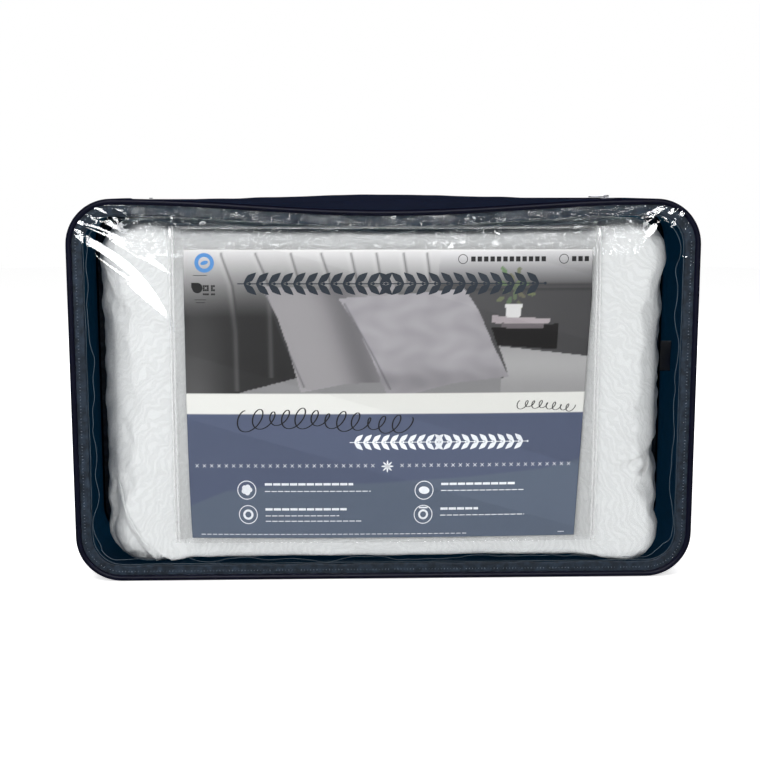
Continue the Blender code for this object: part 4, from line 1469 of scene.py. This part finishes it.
class PACKEDPILLOW_OT_edges(bpy.types.Operator):
    """Makes both pipings, the seam bands inside them, their stitches and the raw edge of the cloth"""

    bl_idname = "packed_pillow.edges"
    bl_label = "Piping and Seams"

    def execute(self, context):
        vinyl = piping_vinyl()
        band = band_tape()
        thread = plain("spun polyester thread", colours().thread[:], 0.6, grain=2500.0)
        edging = plain("trimmed cloth edge", to_linear("56646F"), 0.6, grain=900.0)
        for name, side, sagging, panel in (("front", -1, True, FILM), ("rear", 1, False, CLOTH)):
            node = "front" if side < 0 else "back"
            line, _ = along(outline(PIPING_RADIUS, sagging), 640)
            route = np.stack([line[:, 0], np.full(640, side * SEAM_PLANE), line[:, 1]], 1)
            trim = tube(f"{name}_trim", route, PIPING_RADIUS, sides=5)
            finish(trim, vinyl, "piping_vinyl", f"{node}_piping")
            self.band(name, node, side, sagging, panel, band, thread, edging)
        return {"FINISHED"}

    def band(self, name, node, side, sagging, panel, band, thread, edging):
        count = 520
        line, way = along(outline(PANEL_EDGE + 0.0004, sagging), count)
        inward = np.stack([-way[:, 1], way[:, 0]], 1)
        wander = ripple(line[:, 0] * 1.4, line[:, 1] * 1.4, 0.045, 6.1 + side)
        level = SEAM_PLANE - panel / 2 - CLEARANCE

        def place(i, across_band):
            i = i.astype(int) % count
            reach = across_band * (BAND_SHOWN + 0.0025 + 0.0008 * wander[i])
            x, z = (line[i] + inward[i] * reach[:, None]).T
            pull = 0.0003 * np.cos(i * 1.9) * np.sin(np.pi * across_band)
            return x, np.full(len(x), side * (level - 0.0004)) - side * pull, z

        rows = np.linspace(0, 1, 8)
        piece = grid(f"{name}_seam_band", np.arange(count + 1), rows, place, close=True)
        thicken(piece, 0.0008, offset=0)
        finish(piece, band, "seam_tape", f"{node}_seam_tape")
        run = float(np.linalg.norm(np.diff(line, axis=0), axis=1).sum())
        bm = bmesh.new()
        pitch = sizes().stitch_pitch
        stitch_count = int(run / pitch)
        spots, ways = along(line + inward * 0.0055, stitch_count)
        for number in range(stitch_count):
            x, z = spots[number]
            turn = math.atan2(ways[number][1], ways[number][0]) + math.pi / 2
            turn += 0.5 * math.sin(number * 2.3)
            size = 0.0022 * (0.7 + 0.45 * math.sin(number * 1.7) * math.sin(number * 0.31))
            spot = Matrix.Translation((x, side * (level + 0.00005), z))
            spot = spot @ Matrix.Rotation(-turn, 4, "Y")
            spot = spot @ Matrix.Diagonal((size, 0.0004, 0.0006, 1))
            bmesh.ops.create_icosphere(bm, subdivisions=1, radius=0.5, matrix=spot)
        stitches = made(f"{name}_stitches", bm)
        finish(stitches, thread, "seam_tape")
        for suffix, start, swing, seed, thin in (
            ("raw_edge", BAND_SHOWN + 0.0075, 0.0062, 9.1, 0.00028),
            ("band_fold", BAND_SHOWN + 0.0031, 0.0006, 4.7, 0.00035),
        ):
            wave = ripple(line[:, 0] * 1.2, line[:, 1] * 1.2, 0.05, seed + side, 2)
            reach = start + swing * wave
            x, z = (line + inward * reach[:, None]).T
            route = np.stack([x, np.full(count, side * (level - 0.002)), z], 1)
            raw = tube(f"{name}_{suffix}", route, thin, sides=2)
            finish(raw, edging, "seam_tape")


class PACKEDPILLOW_OT_zip(bpy.types.Operator):
    """Makes the zipped top: cloth strips, tapes, coils that mesh, end stops, slider and pull"""

    bl_idname = "packed_pillow.zip"
    bl_label = "Zipped Top"

    def execute(self, context):
        navy = non_woven("spun-bonded polypropylene, top", colours().gusset[:])
        self.strip("top_cloth_front", "front_zip_strip", -1, True, 0.010, navy)
        self.strip("top_cloth_rear", "rear_zip_strip", 1, False, 0.004, navy)
        webbing = zip_webbing()
        nylon = plain("coiled nylon monofilament", colours().zip[:], 0.35, grain=700.0, contrast=0.25)
        for name, side in (("front", -1), ("rear", 1)):
            self.tape(name, side, webbing)
            self.coil(name, side, nylon)
        metal = plain("gunmetal plated zinc, cast", colours().metal[:], 0.28, 1.0, 900.0, 0.00003, 0.15)
        for name, node, body, bevel in (
            ("zip_end_closed", "zip_stop_closed", "bag", 0.00025),
            ("zip_end_open", "zip_stop_open", "bag", 0.00025),
            ("zip_runner", "zip_slider", "slider", 0.00012),
            ("zip_tab", "zip_pull", "pull", 0.00018),
        ):
            finish(from_node(name, node, bevel), metal, "zip_metal", node, body=body)
        return {"FINISHED"}

    def strip(self, name, node, side, sagging, crest, navy):
        end = ZIP_HALF
        outer, inner = side * GUSSET_EDGE, side * (TAPE_OUTER + CLEARANCE)

        def place(x, y):
            share = (y - outer) / (inner - outer)
            ease = share * share * (3 - 2 * share)
            edge = BAG_HEIGHT - PIPING_RADIUS - (sag(x, np.full_like(x, BAG_HEIGHT)) if sagging else 0)
            dome = crest * np.cos(np.pi * x / (2 * end)) ** 2 * np.sin(np.pi * share)
            calm = np.sin(np.pi * np.clip(share, 0, 1)) * np.cos(np.pi * x / (2 * end)) ** 0.5
            slack = 0.0012 * ripple(x, y, 0.05, 2.2 + side) * calm
            fold = -0.0022 * np.exp(-(((share - 0.45 - 0.9 * x) / 0.07) ** 2)) * calm
            return x, y, edge + (ZIP_LEVEL - edge) * ease + dome + slack + fold * (side < 0)

        columns = np.linspace(-end, end, 150)
        strip = grid(name, columns, np.linspace(min(outer, inner), max(outer, inner), 24), place)
        thicken(strip, CLOTH, offset=0)
        finish(strip, navy, "non_woven", node)

    def tape(self, name, side, webbing):
        inner, outer = side * TAPE_INNER, side * TAPE_OUTER
        rows = np.linspace(min(inner, outer), max(inner, outer), 12)

        def place(x, y):
            return x, y, ZIP_LEVEL + 0.00022 + 0.00025 * np.sin(x * 60 + y * 90)

        tape = grid(f"zip_webbing_{name}", np.linspace(-ZIP_HALF, ZIP_HALF, 120), rows, place)
        thicken(tape, 0.0006, offset=0)
        finish(tape, webbing, "zip_textile", f"zip_tape_{name}")

    def coil(self, name, side, nylon):
        """Bent turns of monofilament whose tips pass between those of the other side."""
        bm = bmesh.new()
        pitch = sizes().tooth_pitch
        count = int(2 * COIL_HALF / pitch)
        shift = 0.0 if side < 0 else pitch / 2
        for number in range(count):
            x = -COIL_HALF + pitch / 4 + number * pitch + shift
            if x > COIL_HALF - pitch / 4:
                continue
            place = Matrix.Translation((x, side * 0.00125, ZIP_LEVEL))
            place = place @ Matrix.Diagonal((pitch * 0.42, 0.0036, 0.0021, 1))
            bmesh.ops.create_cube(bm, size=1.0, matrix=place)
        bmesh.ops.bevel(
            bm, geom=bm.edges[:], affect="EDGES", offset=0.00022, offset_type="OFFSET",
            segments=1, profile=0.5, material=-1,
        )
        finish(made(f"zip_teeth_{name}", bm), nylon, "zip_nylon", f"zip_coil_{name}")


# Stage ------------------------------------------------------------------------------------------


class PACKEDPILLOW_OT_stage(bpy.types.Operator):
    """Sets up the pale floor, the soft lights and the camera"""

    bl_idname = "packed_pillow.stage"
    bl_label = "Stage"

    def execute(self, context):
        scene = context.scene
        scene.view_settings.view_transform = "Standard"
        self.floor()
        self.world(scene)
        # One long soft box that only glossy finishes mirror, and broad ones that only shade.
        for name, spot, size, radiance, mirrored in (
            ("mirror_box", MIRROR_BOX, (1.90, 0.75), 17, True),
            ("key_box", (-1.00, -1.70, 2.20), (1.30, 1.30), 8, False),
            ("fill_box", (1.60, -1.60, 1.20), (1.20, 1.20), 0.8, False),
            ("rear_box", (0.60, 2.20, 1.90), (1.60, 1.60), 7, False),
        ):
            self.light(name, spot, size, radiance, mirrored)
        self.camera(scene)
        return {"FINISHED"}

    def floor(self):
        bm = bmesh.new()
        place = Matrix.Translation((0, 0, -0.0004))
        bmesh.ops.create_circle(bm, cap_ends=True, segments=64, radius=6.0, matrix=place)
        floor = made("floor", bm, flat=True)
        material, tree, shader = new_material("painted studio floor")
        shader.inputs["Base Color"].default_value = rgba(to_linear("FAFAFA"))
        shader.inputs["Roughness"].default_value = 0.9
        shader.inputs["Emission Color"].default_value = (1, 1, 1, 1)
        shader.inputs["Emission Strength"].default_value = 0.62
        floor.data.materials.append(material)
        floor.visible_glossy = False

    def world(self, scene):
        world = bpy.data.worlds.new("studio")
        scene.world = world
        world.use_nodes = True
        tree = world.node_tree
        ground = tree.nodes["Background"]
        ground.inputs["Color"].default_value = (1, 1, 1, 1)
        seen = add(tree, "ShaderNodeLightPath").outputs["Is Camera Ray"]
        strength = add(
            tree, "ShaderNodeMath", {"operation": "MULTIPLY_ADD"}, {0: seen, 1: 0.60, 2: 0.40}
        )
        tree.links.new(strength.outputs[0], ground.inputs["Strength"])
        world.cycles_visibility.glossy = False

    def light(self, name, spot, size, radiance, mirrored):
        data = bpy.data.lights.new(name, "AREA")
        data.shape = "RECTANGLE"
        data.size, data.size_y = size
        data.energy = radiance * math.pi * size[0] * size[1]
        light = bpy.data.objects.new(name, data)
        bpy.context.scene.collection.objects.link(light)
        light.location = spot
        aim = LOOK_AT - Vector(spot)
        light.rotation_euler = aim.to_track_quat("-Z", "Y").to_euler()
        light.visible_camera = False
        light.visible_diffuse = not mirrored
        light.visible_glossy = mirrored

    def camera(self, scene):
        data = bpy.data.cameras.new("camera")
        data.lens = 63.0
        data.sensor_width = 36.0
        data.shift_x = -5.7 / 760
        data.shift_y = 13.0 / 760
        data.clip_start = 0.01
        camera = bpy.data.objects.new("camera", data)
        scene.collection.objects.link(camera)
        turn = Matrix.Rotation(CAMERA_ASIDE, 4, "Z")
        turn = turn @ Matrix.Rotation(math.pi / 2 - CAMERA_RISE, 4, "X")
        camera.matrix_world = Matrix.Translation(camera_spot()) @ turn
        scene.camera = camera


# Add-on -----------------------------------------------------------------------------------------

OPERATORS = (
    PACKEDPILLOW_OT_pillow,
    PACKEDPILLOW_OT_window,
    PACKEDPILLOW_OT_card,
    PACKEDPILLOW_OT_pocket,
    PACKEDPILLOW_OT_gusset,
    PACKEDPILLOW_OT_edges,
    PACKEDPILLOW_OT_zip,
    PACKEDPILLOW_OT_stage,
)


class PACKEDPILLOW_PT_panel(bpy.types.Panel):
    """Lists the pieces and the values that shape them"""

    bl_idname = "PACKEDPILLOW_PT_panel"
    bl_label = "Packed Pillow"
    bl_space_type = "VIEW_3D"
    bl_region_type = "UI"
    bl_category = "Packed Pillow"

    def draw(self, context):
        column = self.layout.column()
        for group in (context.scene.packed_pillow_sizes, context.scene.packed_pillow_colours):
            for name in group.bl_rna.properties.keys():
                if name not in ("rna_type", "name"):
                    column.prop(group, name)
        for operator in OPERATORS:
            column.operator(operator.bl_idname)


CLASSES = (PackedPillowSizes, PackedPillowColours, *OPERATORS, PACKEDPILLOW_PT_panel)


def register():
    for cls in CLASSES:
        bpy.utils.register_class(cls)
    bpy.types.Scene.packed_pillow_sizes = PointerProperty(type=PackedPillowSizes)
    bpy.types.Scene.packed_pillow_colours = PointerProperty(type=PackedPillowColours)


def unregister():
    del bpy.types.Scene.packed_pillow_colours
    del bpy.types.Scene.packed_pillow_sizes
    for cls in reversed(CLASSES):
        bpy.utils.unregister_class(cls)


def main():
    register()
    bpy.ops.packed_pillow.pillow()
    bpy.ops.packed_pillow.window()
    bpy.ops.packed_pillow.card()
    bpy.ops.packed_pillow.pocket()
    bpy.ops.packed_pillow.gusset()
    bpy.ops.packed_pillow.edges()
    bpy.ops.packed_pillow.zip()
    bpy.ops.packed_pillow.stage()


if __name__ == "__main__":
    main()
